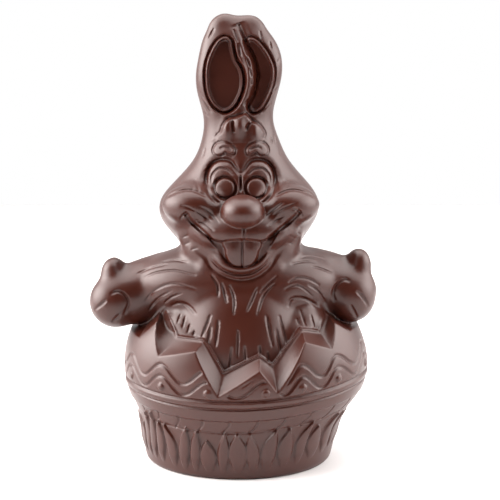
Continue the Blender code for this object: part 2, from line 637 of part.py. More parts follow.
def egg_relief(body):
    """Rings, waves, domes, tiles and grass, drawn on the egg and base unrolled."""
    points = points_of(body)
    table = np.array(EGG_SECTIONS)
    middle, width, depth = [spline(table[:, 0], column)(points[:, 2]) for column in table.T[1:]]
    across = (points[:, 0] - middle) / width
    along = -points[:, 1] / depth
    azimuth = np.degrees(np.arctan2(across, along))
    level = points[:, 2] - TILT * points[:, 0] - SIDE_RISE * np.sin(np.radians(azimuth)) ** 2
    relief = Relief(azimuth * DEGREE, level)
    draw_bands(relief)
    draw_grass(relief)
    turned = np.where(azimuth < FRONT_CRESTS[0], azimuth + 360, azimuth)
    figures = Relief(turned * DEGREE, level)
    draw_waves(figures)
    rim = rim_edges(1)
    order = np.argsort(rim[:, 2] % 360)
    rim_height = np.interp(azimuth % 360, rim[order, 2] % 360, rim[order, 3], period=360)
    relief.height += figures.height * soft_step((rim_height - points[:, 2]) / RIM_MARGIN - 1)
    outward = np.stack((across / width, -along / depth, across * 0), axis=1)
    outward /= np.linalg.norm(outward, axis=1)[:, None]
    skin = soft_step((np.hypot(across, along) - SKIN_START) / SKIN_EDGE)
    skin *= soft_step(points[:, 2] / PLAIN_FOOT)
    move_points(body, points + outward * (relief.height * skin)[:, None])


def egg_surface(azimuth, height, inward=0.0):
    """The point of the egg and base at an azimuth in degrees from the front and a height."""
    table = np.array(EGG_SECTIONS)
    turn = np.radians(azimuth)
    middle = spline(table[:, 0], table[:, 1])(height)
    width = spline(table[:, 0], table[:, 2])(height) - inward
    depth = spline(table[:, 0], table[:, 3])(height) - inward
    return np.stack((middle + width * np.sin(turn), -depth * np.cos(turn), height), axis=-1)


def rim_edges(steps):
    """The rim's inner and outer edge, with as many columns in each straight stretch."""
    keys = [np.array(row, dtype=float) for row in FRONT_RIM]
    start = FRONT_RIM[-1][0]
    span = (360 + FRONT_RIM[0][0] - start) / (2 * BACK_TEETH)
    for tooth in range(2 * BACK_TEETH - 1):
        inner, outer = BACK_NOTCH if tooth % 2 == 0 else BACK_PEAK
        azimuth = start + span * (tooth + 1)
        keys.append(np.array((azimuth, inner, azimuth, outer)))
    first = keys[0] + np.array((360, 0, 360, 0))
    columns = []
    for here, there in zip(keys, keys[1:] + [first]):
        for step in range(steps):
            columns.append(here + (there - here) * step / steps)
    return np.array(columns)


def straightened(ring):
    """The ring made straight from one corner of the crack to the next."""
    corners = np.concatenate((ring[::COLUMNS_PER_EDGE], ring[:1]))
    along = np.arange(len(ring)) / COLUMNS_PER_EDGE
    return np.stack([np.interp(along, range(len(corners)), column) for column in corners.T], axis=1)


def egg_and_base():
    """The egg up to its cracked rim, closed inside the trunk, on the base's flat foot."""
    columns = rim_edges(COLUMNS_PER_EDGE)
    level = np.ones(len(columns))
    rings = []
    for lift in FOOT_STEPS[::-1]:
        tuck = FOOT_ROUNDING * (1 - np.sqrt(1 - lift ** 2))
        rings.append(egg_surface(columns[:, 2], level * (FOOT + FOOT_ROUNDING * (1 - lift)), tuck))
    for share in np.linspace(0, 1, ROWS + 1):
        height = FOOT + FOOT_ROUNDING + (columns[:, 3] - FOOT - FOOT_ROUNDING) * share
        rings.append(egg_surface(columns[:, 2], height))
    for lift, inward in LIP_RINGS:
        rings.append(straightened(egg_surface(columns[:, 0], columns[:, 1] + lift, SHELL + inward)))
    rings.append(egg_surface(columns[:, 0], level * WELL_FOOT, WELL_DEPTH))
    shape = bmesh.new()
    made = [[shape.verts.new(point) for point in ring] for ring in rings]
    count = len(columns)
    for lower, upper in zip(made, made[1:]):
        for i in range(count):
            j = (i + 1) % count
            shape.faces.new((lower[i], lower[j], upper[j], upper[i]))
    for ring, height in ((made[0], FOOT), (made[-1], WELL_MIDDLE)):
        centre = shape.verts.new((0, 0, height))
        for i in range(count):
            shape.faces.new((ring[i], ring[(i + 1) % count], centre))
    bmesh.ops.recalc_face_normals(shape, faces=shape.faces)
    return new_object("egg_and_base", shape)


def apply_modifier(body, kind, **settings):
    change = body.modifiers.new(kind.lower(), kind)
    for name, value in settings.items():
        setattr(change, name, value)
    bpy.context.view_layer.update()
    graph = bpy.context.evaluated_depsgraph_get()
    finished = bpy.data.meshes.new_from_object(body.evaluated_get(graph))
    body.modifiers.clear()
    old = body.data
    body.data = finished
    bpy.data.meshes.remove(old)


def join(first, others):
    """One Boolean union of the first body with all the others, which are then removed."""
    group = bpy.data.collections.new("joined")
    for body in others:
        group.objects.link(body)
    apply_modifier(first, "BOOLEAN", operation="UNION", operand_type="COLLECTION",
                   collection=group, solver="MANIFOLD")
    for body in list(group.objects):
        bpy.data.objects.remove(body)
    bpy.data.collections.remove(group)
    return first


def rework(body, voxel, passes):
    apply_modifier(body, "REMESH", mode="VOXEL", voxel_size=voxel)
    apply_modifier(body, "SMOOTH", factor=0.5, iterations=passes)


def soft_figure():
    """Head, ears, trunk, arms and paws, blended into each other."""
    figure = upright_mass(FIGURE, HEAD_FOOT, HEAD_TOP, HEAD_SECTIONS)
    parts = [upright_mass("trunk", TRUNK_FOOT, TRUNK_TOP, TRUNK_SECTIONS)]
    parts += [ball("mass", middle, sizes) for middle, sizes in ROUND_MASSES]
    parts += [limb("arm", stations) for stations in ARMS]
    join(figure, parts)
    rework(figure, BLEND_VOXEL, BLEND_PASSES)
    return figure


def finish(figure):
    """The surface in few triangles, on a flat foot, centred over the origin, in metres."""
    apply_modifier(figure, "DECIMATE", ratio=TRIANGLES / (2 * len(figure.data.polygons)))
    shape = bmesh.new()
    shape.from_mesh(figure.data)
    everything = shape.verts[:] + shape.edges[:] + shape.faces[:]
    cut = bmesh.ops.bisect_plane(shape, geom=everything, plane_co=(0, 0, 0), plane_no=(0, 0, 1),
                                 clear_inner=True)
    rim = [edge for edge in cut["geom_cut"] if isinstance(edge, bmesh.types.BMEdge)]
    bmesh.ops.contextual_create(shape, geom=rim)
    bmesh.ops.triangulate(shape, faces=shape.faces)
    bmesh.ops.recalc_face_normals(shape, faces=shape.faces)
    places = np.array([vertex.co for vertex in shape.verts])
    middle = (places.min(axis=0) + places.max(axis=0)) / 2
    bmesh.ops.translate(shape, vec=Vector((-middle[0], -middle[1], 0)), verts=shape.verts)
    bmesh.ops.scale(shape, vec=Vector((MILLIMETRE,) * 3), verts=shape.verts)
    shape.to_mesh(figure.data)
    shape.free()


def dark_chocolate():
    material = bpy.data.materials.new("dark_chocolate")
    material.use_nodes = True
    surface = material.node_tree.nodes["Principled BSDF"]
    surface.inputs["Base Color"].default_value = (0.042, 0.0103, 0.0052, 1.0)
    surface.inputs["Roughness"].default_value = 0.34
    surface.inputs["Metallic"].default_value = 0.0
    return material


def build():
    for old in list(bpy.data.objects):
        bpy.data.objects.remove(old)
    figure = soft_figure()
    join(figure, [egg_and_base(), ball("nose", *NOSE)])
    rework(figure, RELIEF_VOXEL, RELIEF_PASSES)
    front_relief(figure)
    egg_relief(figure)
    return figure


if __name__ == "__main__":
    figure = build()
    finish(figure)
    figure.data.materials.clear()
    figure.data.materials.append(dark_chocolate())
    figure.data.shade_smooth()
    figure.data.set_sharp_from_angle(angle=np.radians(SHARP_DEGREES))
    collection = bpy.data.collections.new("moulded_chocolate_rabbit")
    bpy.context.scene.collection.children.link(collection)
    collection.objects.link(figure)
    bpy.context.scene.collection.objects.unlink(figure)
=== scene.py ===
# Moulded dark chocolate rabbit that sits in a cracked egg on a round grassy base.
# It is shaped in millimetres with its face towards -Y, then scaled to metres and set on the frame.
import math
import bpy
import numpy as np
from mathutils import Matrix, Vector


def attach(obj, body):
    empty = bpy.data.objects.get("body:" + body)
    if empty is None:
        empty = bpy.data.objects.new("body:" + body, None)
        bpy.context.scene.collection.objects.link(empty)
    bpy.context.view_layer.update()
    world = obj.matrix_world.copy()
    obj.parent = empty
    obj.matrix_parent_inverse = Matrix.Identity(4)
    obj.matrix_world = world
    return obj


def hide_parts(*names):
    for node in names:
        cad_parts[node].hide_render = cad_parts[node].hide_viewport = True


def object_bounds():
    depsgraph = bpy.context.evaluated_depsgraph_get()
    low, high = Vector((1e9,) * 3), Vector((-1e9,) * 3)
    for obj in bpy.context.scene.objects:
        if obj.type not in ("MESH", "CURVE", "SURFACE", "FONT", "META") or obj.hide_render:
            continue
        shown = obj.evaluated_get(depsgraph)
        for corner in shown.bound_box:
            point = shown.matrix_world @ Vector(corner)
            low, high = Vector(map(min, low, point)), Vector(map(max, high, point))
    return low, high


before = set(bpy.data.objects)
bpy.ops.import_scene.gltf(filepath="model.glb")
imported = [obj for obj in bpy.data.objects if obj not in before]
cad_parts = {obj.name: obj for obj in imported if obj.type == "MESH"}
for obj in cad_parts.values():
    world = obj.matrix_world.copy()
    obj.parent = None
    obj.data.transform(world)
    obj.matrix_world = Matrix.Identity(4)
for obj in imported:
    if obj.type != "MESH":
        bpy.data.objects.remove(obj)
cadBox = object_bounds()

millimetre = 0.001

viewpoint = {
    "eye": (4.9, -600.0, 178.0),     # the camera, and the point that the front relief is seen from
    "pitch": 7.9,                    # degrees that the camera looks down
    "focalLength": 2.678,            # times the sensor's width
    "sensor": 36.0,                  # millimetres
}

figureFinish = {
    "uprightGrid": (128, 96),        # columns and rings of a form that is drawn out of a ball
    "blendVoxel": 1.1,               # millimetres, where the soft forms melt into each other
    "blendPasses": 26,
    "fineVoxel": 0.45,
    "finePasses": 3,
    "smoothing": 0.5,                # share of the way to its neighbours that a point moves in a pass
    "reliefFade": 1.7,               # how soon the relief is whole, from where the skin is seen edge on
    "triangles": 194000,
}


def makeActive(piece):
    bpy.ops.object.select_all(action="DESELECT")
    piece.select_set(True)
    bpy.context.view_layer.objects.active = piece


def applyModifier(piece, kind, **settings):
    makeActive(piece)
    modifier = piece.modifiers.new(kind.lower(), kind)
    for name, value in settings.items():
        setattr(modifier, name, value)
    bpy.ops.object.modifier_apply(modifier=modifier.name)


def rework(piece, voxel, passes):
    applyModifier(piece, "REMESH", mode="VOXEL", voxel_size=voxel)
    applyModifier(piece, "SMOOTH", factor=figureFinish["smoothing"], iterations=passes)


def joinPieces(first, others):
    makeActive(first)
    for other in others:
        other.select_set(True)
    bpy.ops.object.join()
    return first


def editAll():
    bpy.ops.object.mode_set(mode="EDIT")
    bpy.ops.mesh.select_all(action="SELECT")


def pointsOf(piece, kind="co"):
    values = np.empty(len(piece.data.vertices) * 3)
    piece.data.vertices.foreach_get(kind, values)
    return values.reshape(-1, 3)


def movePoints(piece, points):
    piece.data.vertices.foreach_set("co", points.ravel())
    piece.data.update()


def softStep(t):
    t = np.clip(t, 0, 1)
    return t * t * (3 - 2 * t)


def spline(places, values):          # a smooth curve through the values, level beyond its ends
    x = np.array(places, dtype=float)
    y = np.array(values, dtype=float)
    count = len(x)
    step = np.diff(x)
    system = np.eye(count)
    bend = np.zeros(count)
    for i in range(1, count - 1):
        system[i, i - 1:i + 2] = step[i - 1], 2 * (step[i - 1] + step[i]), step[i]
        bend[i] = 6 * ((y[i + 1] - y[i]) / step[i] - (y[i] - y[i - 1]) / step[i - 1])
    curve = np.linalg.solve(system, bend)

    def at(place):
        place = np.clip(np.asarray(place, dtype=float), x[0], x[-1])
        i = np.clip(np.searchsorted(x, place) - 1, 0, count - 2)
        a = (x[i + 1] - place) / step[i]
        b = 1 - a
        bow = (a ** 3 - a) * curve[i] + (b ** 3 - b) * curve[i + 1]
        return a * y[i] + b * y[i + 1] + bow * step[i] ** 2 / 6

    return at


# Height, middle, half width, depth in front and behind, and squareness, where 2 is an ellipse.
uprightForms = {
    "head": {
        "foot": 79, "top": 199.6,
        "sections": (
            (197, -1.3, 9, 4.8, 5, 2.2),
            (190, -0.3, 15.5, 9, 8.4, 2.5),
            (182, 0.5, 18.3, 11.2, 10, 3),
            (173, -0.1, 19.2, 12.5, 11, 3),
            (163, -0.7, 17.3, 13.4, 11.7, 2.6),
            (153, -0.2, 15.5, 14.4, 12.6, 2.2),
            (145, 0.6, 17.3, 17, 15.4, 2),
            (136, 0.9, 21.2, 20.5, 19.8, 2),
            (127, 0.8, 28.8, 23.5, 23.8, 2),
            (117, 0.1, 35.8, 26.5, 26.5, 2.1),
            (108, -0.2, 33.8, 29, 26.5, 2.4),
            (99, 0.5, 27.2, 26.5, 24, 2.4),
            (90, 0.5, 20.5, 21, 20, 2.2),
            (84, 0.7, 12, 16, 14, 2),
        ),
    },
    "trunk": {
        "foot": 20, "top": 108,
        "sections": (
            (100, 0.5, 20, 17, 20, 2),
            (92, 0.5, 25, 24, 25, 2),
            (83, 0.7, 28, 30.5, 28.5, 2.2),
            (74, 0.7, 29, 35.5, 31, 2.4),
            (65, 0.7, 29.5, 38.5, 33, 2.4),
            (55, 0.7, 30.5, 40.5, 34, 2.4),
            (44, 0.7, 30.5, 40.5, 34, 2.4),
            (30, 0.5, 26, 35, 30, 2),
        ),
    },
}

# Middle and half sizes of the round masses that are blended on.
roundMasses = {
    "earTips": (
        ((-6.1, -0.4, 191.5), (8.4, 6.4, 9.2)),
        ((4.2, -0.4, 190.9), (8.6, 6.4, 9.2)),
    ),
    "cheeks": (
        ((-18.3, -19.0, 117.3), (15.5, 14.0, 9.5)),
        ((20.0, -19.0, 117.3), (15.5, 14.0, 9.5)),
    ),
    "muzzle": (
        ((1.5, -18.0, 107.0), (25.0, 19.5, 11.5)),
        ((1.5, -15.0, 94.5), (17.5, 19.5, 11.5)),
    ),
    "jaws": (
        ((-14.0, -13.6, 97.8), (11.4, 13.4, 9.0)),
        ((15.5, -13.6, 97.8), (11.4, 13.4, 9.0)),
    ),
    "shoulders": (
        ((0.5, -4.0, 81.5), (48.0, 27.5, 18.5)),
        ((-25.0, -4.5, 79.0), (22.0, 16.0, 15.0)),
        ((26.0, -4.5, 81.0), (22.0, 16.0, 15.0)),
    ),
    "lowerLip": (
        ((-22.5, -17.5, 104.0), (4.6, 4.6, 5.6)),
        ((-18.0, -20.5, 98.6), (4.8, 4.8, 5.8)),
        ((-13.0, -23.5, 92.4), (5.0, 5.0, 5.6)),
        ((-7.5, -25.5, 87.4), (5.4, 5.0, 4.8)),
        ((0.8, -26.5, 85.4), (6.2, 5.0, 4.4)),
        ((9.0, -25.5, 87.2), (5.4, 5.0, 4.8)),
        ((14.4, -23.5, 92.2), (5.0, 5.0, 5.6)),
        ((19.2, -20.5, 98.4), (4.8, 4.8, 5.8)),
        ((23.7, -17.5, 104.0), (4.6, 4.6, 5.6)),
    ),
    "chestSides": (
        ((-14.5, -19.5, 77.0), (11.0, 10.5, 8.0)),
        ((16.5, -19.5, 78.0), (11.0, 10.5, 8.0)),
    ),
    "haunches": (
        ((-22.5, -11.0, 61.0), (13.2, 19.0, 14.0)),
        ((-20.0, -17.5, 55.0), (13.4, 16.5, 15.0)),
        ((26.5, -11.0, 63.0), (13.6, 19.0, 14.5)),
        ((24.0, -17.5, 57.0), (14.0, 16.5, 15.0)),
    ),
    "paws": (
        ((-55.2, -7.0, 72.6), (12.2, 12.5, 12.2)),
        ((50.0, -7.0, 75.6), (11.6, 12.5, 12.8)),
    ),
    "thumbs": (
        ((-56.2, -5.0, 84.6), (6.2, 7.5, 8.0)),
        ((53.6, -5.0, 88.4), (6.0, 7.5, 8.4)),
    ),
    "lap": (((2.9, 0.0, 40.0), (46.0, 42.0, 43.0)),),
}

nose = {"middle": (1.7, -32.5, 115.8), "sizes": (9.3, 10.5, 7.2)}

arms = {                              # points along the middle and the radius there
    "balls": 9,
    "left": ((-10, -3, 84, 15.5), (-31, 0, 79.2, 15.4), (-45, -3, 75.8, 14.4), (-54, -6, 74.4, 12.0)),
    "right": ((10, -3, 84, 15.5), (31, 0, 81.0, 15.4), (43, -3, 78.6, 14.6), (50, -6, 77.2, 12.0)),
}


def addBall(middle, sizes, segments=48, rings=24):
    bpy.ops.mesh.primitive_uv_sphere_add(segments=segments, ring_count=rings, radius=1.0,
                                         location=middle, scale=sizes)
    bpy.ops.object.transform_apply(location=True, rotation=True, scale=True)
    return bpy.context.object


def addUpright(form):                 # a ball drawn out so that it has the widths and depths given
    body = addBall((0, 0, 0), (1, 1, 1), *figureFinish["uprightGrid"])
    x, y, z = pointsOf(body).T
    table = np.array(form["sections"][::-1])
    half = (form["top"] - form["foot"]) / 2
    height = form["foot"] + half * (z + 1)
    fullness = np.sqrt(1 - ((table[:, 0] - form["foot"]) / half - 1) ** 2)
    middle = spline(table[:, 0], table[:, 1])(height)
    width, front, back = [spline(table[:, 0], column / fullness)(height) for column in table.T[2:5]]
    roundShare = 2 / spline(table[:, 0], table[:, 5])(height)
    reach = np.hypot(x, y) + 1e-9
    x = np.sign(x) * reach * np.abs(x / reach) ** roundShare
    y = np.sign(y) * reach * np.abs(y / reach) ** roundShare
    movePoints(body, np.stack((middle + width * x, np.where(y < 0, front, back) * y, height), axis=1))
    return body


def addArm(stations):
    table = np.array(stations, dtype=float)
    along = np.linspace(0, len(table) - 1, arms["balls"])
    smooth = np.stack([spline(range(len(table)), column)(along) for column in table.T], axis=1)
    return [addBall(tuple(place[:3]), (place[3],) * 3) for place in smooth]


def softFigure():
    figure = addUpright(uprightForms["head"])
    others = [addUpright(uprightForms["trunk"])]
    others += [addBall(*mass) for group in roundMasses.values() for mass in group]
    others += addArm(arms["left"]) + addArm(arms["right"])
    joinPieces(figure, others)
    rework(figure, figureFinish["blendVoxel"], figureFinish["blendPasses"])
    return figure


eggForm = {
    # Height, middle, half width and half depth.
    "sections": (
        (0.0, -0.4, 42.0, 41.0),
        (10.0, -0.2, 44.2, 42.9),
        (19.5, 0.6, 46.6, 44.8),
        (24.0, 1.4, 48.6, 45.9),
        (29.0, 2.3, 51.7, 47.6),
        (36.0, 2.9, 54.5, 50.2),
        (43.0, 3.1, 55.4, 51.0),
        (50.0, 3.0, 54.9, 50.5),
        (57.0, 2.8, 53.0, 48.8),
        (64.0, 2.8, 49.8, 45.8),
        (71.0, 2.8, 45.0, 41.4),
    ),
    "foot": -0.5,
    "footRounding": 2.6,
    "footSteps": (1.0, 0.85, 0.6, 0.3),
    "shell": 6.0,                     # thickness at the crack
    "lip": 1.3,                       # raised edge along the crack's inner side
    "lipSides": (0.01, 0.2, 1.4),     # way inwards of the crack's edge and of the lip's two sides
    "trench": ((-0.8, 1.8), (-1.2, 9.0)),    # rise and way inwards of the skin behind the lip
    "beadInward": 0.8,
    "beadCut": (0.95, 0.7),
    "well": (40.0, 16.0),             # height and way inwards of the ring that closes inside the trunk
    # Degrees from the front and height, at the crack's inner edge and then at its outer edge.
    "frontRim": (
        (-102, 62.5, -99, 60.5),
        (-86, 62.5, -83, 60.0),
        (-80, 63.5, -63, 59.0),
        (-69, 69.3, -53.2, 67.0),
        (-41.3, 60.1, -43.9, 53.3),
        (-23.3, 60.0, -23.5, 57.5),
        (-11.3, 46.9, -12.4, 38.5),
        (7.3, 54.2, 6.3, 50.3),
        (13.9, 49.9, 14.1, 40.2),
        (34.0, 63.7, 29.6, 60.8),
        (47.2, 61.7, 44.7, 56.4),
        (63.4, 67.7, 53.5, 66.5),
        (74.0, 64.5, 64.0, 61.5),
        (86.0, 63.5, 80.0, 61.5),
        (102.0, 63.5, 99.0, 61.5),
    ),
    "backTeeth": 6,
    "backPeak": (65.0, 62.5),
    "backNotch": (56.0, 48.5),
    "stepsPerEdge": 14,
    "rows": 44,
}


def eggGirth(height):                 # middle, half width and half depth
    table = np.array(eggForm["sections"])
    return [spline(table[:, 0], column)(height) for column in table.T[1:]]


def eggPoint(azimuth, height, inward=0.0):
    turn = np.radians(azimuth)
    middle, width, depth = eggGirth(height)
    across = middle + (width - inward) * np.sin(turn)
    return np.stack((across, -(depth - inward) * np.cos(turn), height), axis=-1)


def rimEdges(steps):                  # columns round the rim, with as many in each straight stretch
    keys = [np.array(row, dtype=float) for row in eggForm["frontRim"]]
    start = keys[-1][0]
    span = (360 + keys[0][0] - start) / (2 * eggForm["backTeeth"])
    for tooth in range(2 * eggForm["backTeeth"] - 1):
        inner, outer = eggForm["backNotch"] if tooth % 2 == 0 else eggForm["backPeak"]
        azimuth = start + span * (tooth + 1)
        keys.append(np.array((azimuth, inner, azimuth, outer)))
    first = keys[0] + np.array((360, 0, 360, 0))
    columns = []
    for here, there in zip(keys, keys[1:] + [first]):
        columns += [here + (there - here) * step / steps for step in range(steps)]
    return np.array(columns + [first])


def straightened(ring, steps):        # straight from one corner of the crack to the next
    corners = ring[::steps]
    along = np.arange(len(ring)) / steps
    return np.stack([np.interp(along, range(len(corners)), column) for column in corners.T], axis=1)


def addEgg():
    columns = rimEdges(eggForm["stepsPerEdge"])
    foot = eggForm["foot"]
    rounding = eggForm["footRounding"]
    flat = np.ones(len(columns))
    rings = []
    for lift in eggForm["footSteps"]:      # the foot's rounded edge
        tuck = rounding * (1 - math.sqrt(1 - lift ** 2))
        rings.append(eggPoint(columns[:, 2], flat * (foot + rounding * (1 - lift)), tuck))
    for share in np.linspace(0, 1, eggForm["rows"] + 1):
        height = foot + rounding + (columns[:, 3] - foot - rounding) * share
        rings.append(eggPoint(columns[:, 2], height))
    shell = eggForm["shell"]
    lip = eggForm["lip"]
    crackEdge, outer, inner = eggForm["lipSides"]
    for lift, inward in ((0, crackEdge), (lip, outer), (lip, inner)) + eggForm["trench"]:
        edge = eggPoint(columns[:, 0], columns[:, 1] + lift, shell + inward)
        rings.append(straightened(edge, eggForm["stepsPerEdge"]))
    height, inward = eggForm["well"]
    rings.append(eggPoint(columns[:, 0], flat * height, shell + inward))
    across = len(columns) - 1
    up = len(rings) - 1
    bpy.ops.mesh.primitive_grid_add(x_subdivisions=across, y_subdivisions=up, size=2.0)
    egg = bpy.context.object
    places = pointsOf(egg)
    column = np.rint((places[:, 0] + 1) / 2 * across).astype(int)
    ring = np.rint((places[:, 1] + 1) / 2 * up).astype(int)
    movePoints(egg, np.array(rings)[ring, column])
    editAll()
    bpy.ops.mesh.remove_doubles(threshold=0.001)
    bpy.ops.mesh.select_non_manifold()
    bpy.ops.mesh.fill_holes(sides=0)
    bpy.ops.mesh.select_all(action="SELECT")
    bpy.ops.mesh.normals_make_consistent(inside=False)
    bpy.ops.object.mode_set(mode="OBJECT")
    return egg


# A relief sheet holds the flat picture of a surface and the heights raised on it.
# A cut is the half width of a line and how far it is raised, which is below nought for a groove.
def newSheet(across, up):
    return {"across": across, "up": up, "height": np.zeros(len(across))}


def curveThrough(points, closed=False, pieces=6):
    points = np.array(points, dtype=float)
    if closed:
        guard = np.concatenate((points[-1:], points, points[:2]))
    else:
        guard = np.concatenate((2 * points[:1] - points[1:2], points, 2 * points[-1:] - points[-2:-1]))
    path = []
    for before, start, end, after in zip(guard, guard[1:], guard[2:], guard[3:]):
        for t in np.arange(pieces) / pieces:
            path.append(start + 0.5 * t * (end - before + t * (2 * before - 5 * start + 4 * end - after
                        + t * (3 * (start - end) + after - before))))
    path.append(guard[-2])
    return np.array(path)


def nearPath(sheet, path, margin):    # the points near a path, their distance and their share of its way
    low = path.min(axis=0) - margin
    high = path.max(axis=0) + margin
    inside = (sheet["across"] > low[0]) & (sheet["across"] < high[0])
    inside &= (sheet["up"] > low[1]) & (sheet["up"] < high[1])
    chosen = np.flatnonzero(inside)
    spot = np.stack((sheet["across"][chosen], sheet["up"][chosen]), axis=1)
    distance = np.full(len(chosen), np.inf)
    share = np.zeros(len(chosen))
    for i, (start, end) in enumerate(zip(path, path[1:])):
        run = end - start
        t = np.clip((spot - start) @ run / (run @ run + 1e-12), 0, 1)
        gap = spot - start - t[:, None] * run
        reach = np.hypot(gap[:, 0], gap[:, 1])
        closer = reach < distance
        distance[closer] = reach[closer]
        share[closer] = (i + t[closer]) / (len(path) - 1)
    return chosen, distance, share


def withinOutline(across, up, path):
    within = np.zeros(len(across), dtype=bool)
    for start, end in zip(path, np.roll(path, -1, axis=0)):
        rise = end[1] - start[1]
        if rise:
            spans = (start[1] > up) != (end[1] > up)
            within ^= spans & (across < start[0] + (up - start[1]) * (end[0] - start[0]) / rise)
    return within


def drawLine(sheet, points, cut, tapered=True, closed=False, straight=False):
    halfWidth, rise = cut
    path = np.array(points) if straight else curveThrough(points, closed)
    chosen, distance, share = nearPath(sheet, path, halfWidth)
    bell = np.clip(1 - (distance / halfWidth) ** 2, 0, 1) ** 2
    ends = np.sqrt(np.clip(np.sin(np.pi * share), 0, 1)) if tapered else 1.0
    sheet["height"][chosen] += rise * bell * ends


def insideShare(sheet, outline, slope):    # 1 inside an outline and 0 outside, with a soft edge
    path = curveThrough(outline, closed=True)
    chosen, distance = nearPath(sheet, path, slope)[:2]
    within = withinOutline(sheet["across"][chosen], sheet["up"][chosen], path)
    return chosen, softStep(np.where(within, distance, -distance) / slope + 0.5)


def drawArea(sheet, outline, rise, slope, fadeFrom=None, fadeOver=1.0):
    chosen, share = insideShare(sheet, outline, slope)
    if fadeFrom is not None:
        share = share * softStep((sheet["up"][chosen] - fadeFrom) / fadeOver)
    sheet["height"][chosen] += rise * share


def drawFloor(sheet, outline, above, slope):    # a hollow with a flat floor, that far under the skin
    chosen, share = insideShare(sheet, outline, slope)
    sheet["height"][chosen] += (above[chosen] - sheet["height"][chosen]) * share


def drawHoop(sheet, level, cut):
    halfWidth, rise = cut
    sheet["height"] += rise * np.clip(1 - ((sheet["up"] - level) / halfWidth) ** 2, 0, 1) ** 2


def roundGap(sheet, middle, sizes):    # squared distance from the middle, 1 on the ellipse
    return ((sheet["across"] - middle[0]) / sizes[0]) ** 2 + ((sheet["up"] - middle[1]) / sizes[1]) ** 2


def drawDome(sheet, middle, sizes, rise, flatness=2):
    away = roundGap(sheet, middle, sizes)
    sheet["height"] += rise * np.sqrt(np.clip(1 - away ** (flatness / 2), 0, 1))


def drawSwell(sheet, middle, sizes, rise):
    sheet["height"] += rise * np.exp(-roundGap(sheet, middle, sizes))


def widened(outline, margin):         # a closed outline moved outwards
    points = np.array(outline)
    run = np.roll(points, -1, axis=0) - np.roll(points, 1, axis=0)
    outward = np.stack((run[:, 1], -run[:, 0]), axis=1) / np.linalg.norm(run, axis=1)[:, None]
    onward = np.roll(points, -1, axis=0)
    area = (points[:, 0] * onward[:, 1] - points[:, 1] * onward[:, 0]).sum()
    return points + margin * np.sign(area) * outward


def mirrored(points, axis=0.7):
    return tuple((2 * axis - across, up) for across, up in points)


# Places on the upright plane through the figure's middle, as the camera sees them.
earLines = {
    "valleyCut": (4.4, -2.4),
    "ridgeCut": (3.6, 1.7),
    "creaseCut": (1.0, -1.8),
    "grooveMargin": 1.0,              # outside the bead
    "grooveCut": (0.75, -0.6),
    "beadCut": (1.0, 2.1),
    "floorMargin": 1.5,
    "floorSlope": 1.6,
    "floor": -8.8,                    # depth of the hollows' floor at this level, and its lean
    "level": 172.0,
    "slant": 0.06,
    "hollows": (
        ((-6.2, 189.5), (-9.3, 187.7), (-12.2, 182.9), (-14.0, 177.2), (-14.3, 171.0), (-13.4, 164.9),
         (-10.7, 160.0), (-6.7, 157.5), (-2.7, 159.5), (0.2, 164.4), (1.5, 170.2), (0.7, 175.4),
         (-1.8, 179.8), (-3.1, 184.2), (-4.0, 188.2)),
        ((3.4, 188.0), (4.9, 189.1), (7.6, 188.2), (11.1, 184.5), (13.8, 179.8), (15.1, 175.4),
         (14.7, 170.2), (12.5, 164.0), (9.4, 158.7), (6.2, 157.3), (4.9, 159.5), (6.9, 164.4),
         (8.5, 171.0), (7.6, 179.0), (4.9, 184.7)),
    ),
    "beadEnds": (15, 12),             # the first bead is a loop, the second stops at the crease
    "crease": ((-0.4, 196.0), (0.9, 192.5), (2.5, 189.0), (4.5, 185.5), (6.7, 181.2), (8.1, 176.3),
               (8.2, 171.9), (7.1, 165.7), (4.9, 160.4), (3.1, 156.4)),
    "ridge": ((-1.3, 194.3), (0.5, 189.5), (3.6, 183.4), (5.3, 177.2), (5.6, 170.2), (4.0, 163.5),
              (1.3, 157.8)),
}
browLines = {
    "tuftRise": 2.3,
    "tuftSlope": 1.0,
    "tuftFade": (141.0, 12.0),        # where the tuft starts to stand out, and over how much height
    "tuftCut": (1.1, -1.2),
    "grooveCut": (1.0, -1.4),
    "lobeSizes": (2.4, 5.0),
    "lobeRise": 1.8,
    "browRise": 0.8,
    "browSlope": 1.2,
    "ringMargin": 0.4,
    "ringCut": (0.75, -0.6),
    "foldCut": (0.9, -0.9),
    "tuft": ((-11.0, 143.5), (-9.9, 146.2), (-8.1, 148.0), (-7.6, 149.8), (-6.3, 152.2), (-4.5, 154.0),
             (-2.2, 154.4), (0.4, 155.3), (2.7, 156.2), (4.0, 155.3), (5.1, 154.0), (6.0, 152.7),
             (8.0, 151.8), (9.8, 150.2), (11.4, 147.5), (10.9, 145.3), (10.5, 143.5)),
    "tuftGrooves": (
        ((-2.7, 154.2), (-2.9, 150.7), (-2.3, 147.5)),
        ((5.9, 153.0), (5.0, 152.2), (3.8, 150.9), (3.3, 148.4)),
    ),
    "tuftLobes": ((-5.6, 148.6), (0.4, 150.6), (7.4, 147.4)),
    "brow": ((-11.4, 139.5), (-10.8, 141.7), (-9.0, 143.1), (-6.3, 143.1), (-3.6, 142.0), (-2.0, 139.9),
             (-2.7, 137.9), (-4.5, 138.4), (-6.3, 139.1), (-8.1, 137.7), (-10.3, 137.9)),
    "browFold": ((-8.6, 140.6), (-6.8, 141.3), (-4.6, 140.8), (-3.0, 139.6)),
}
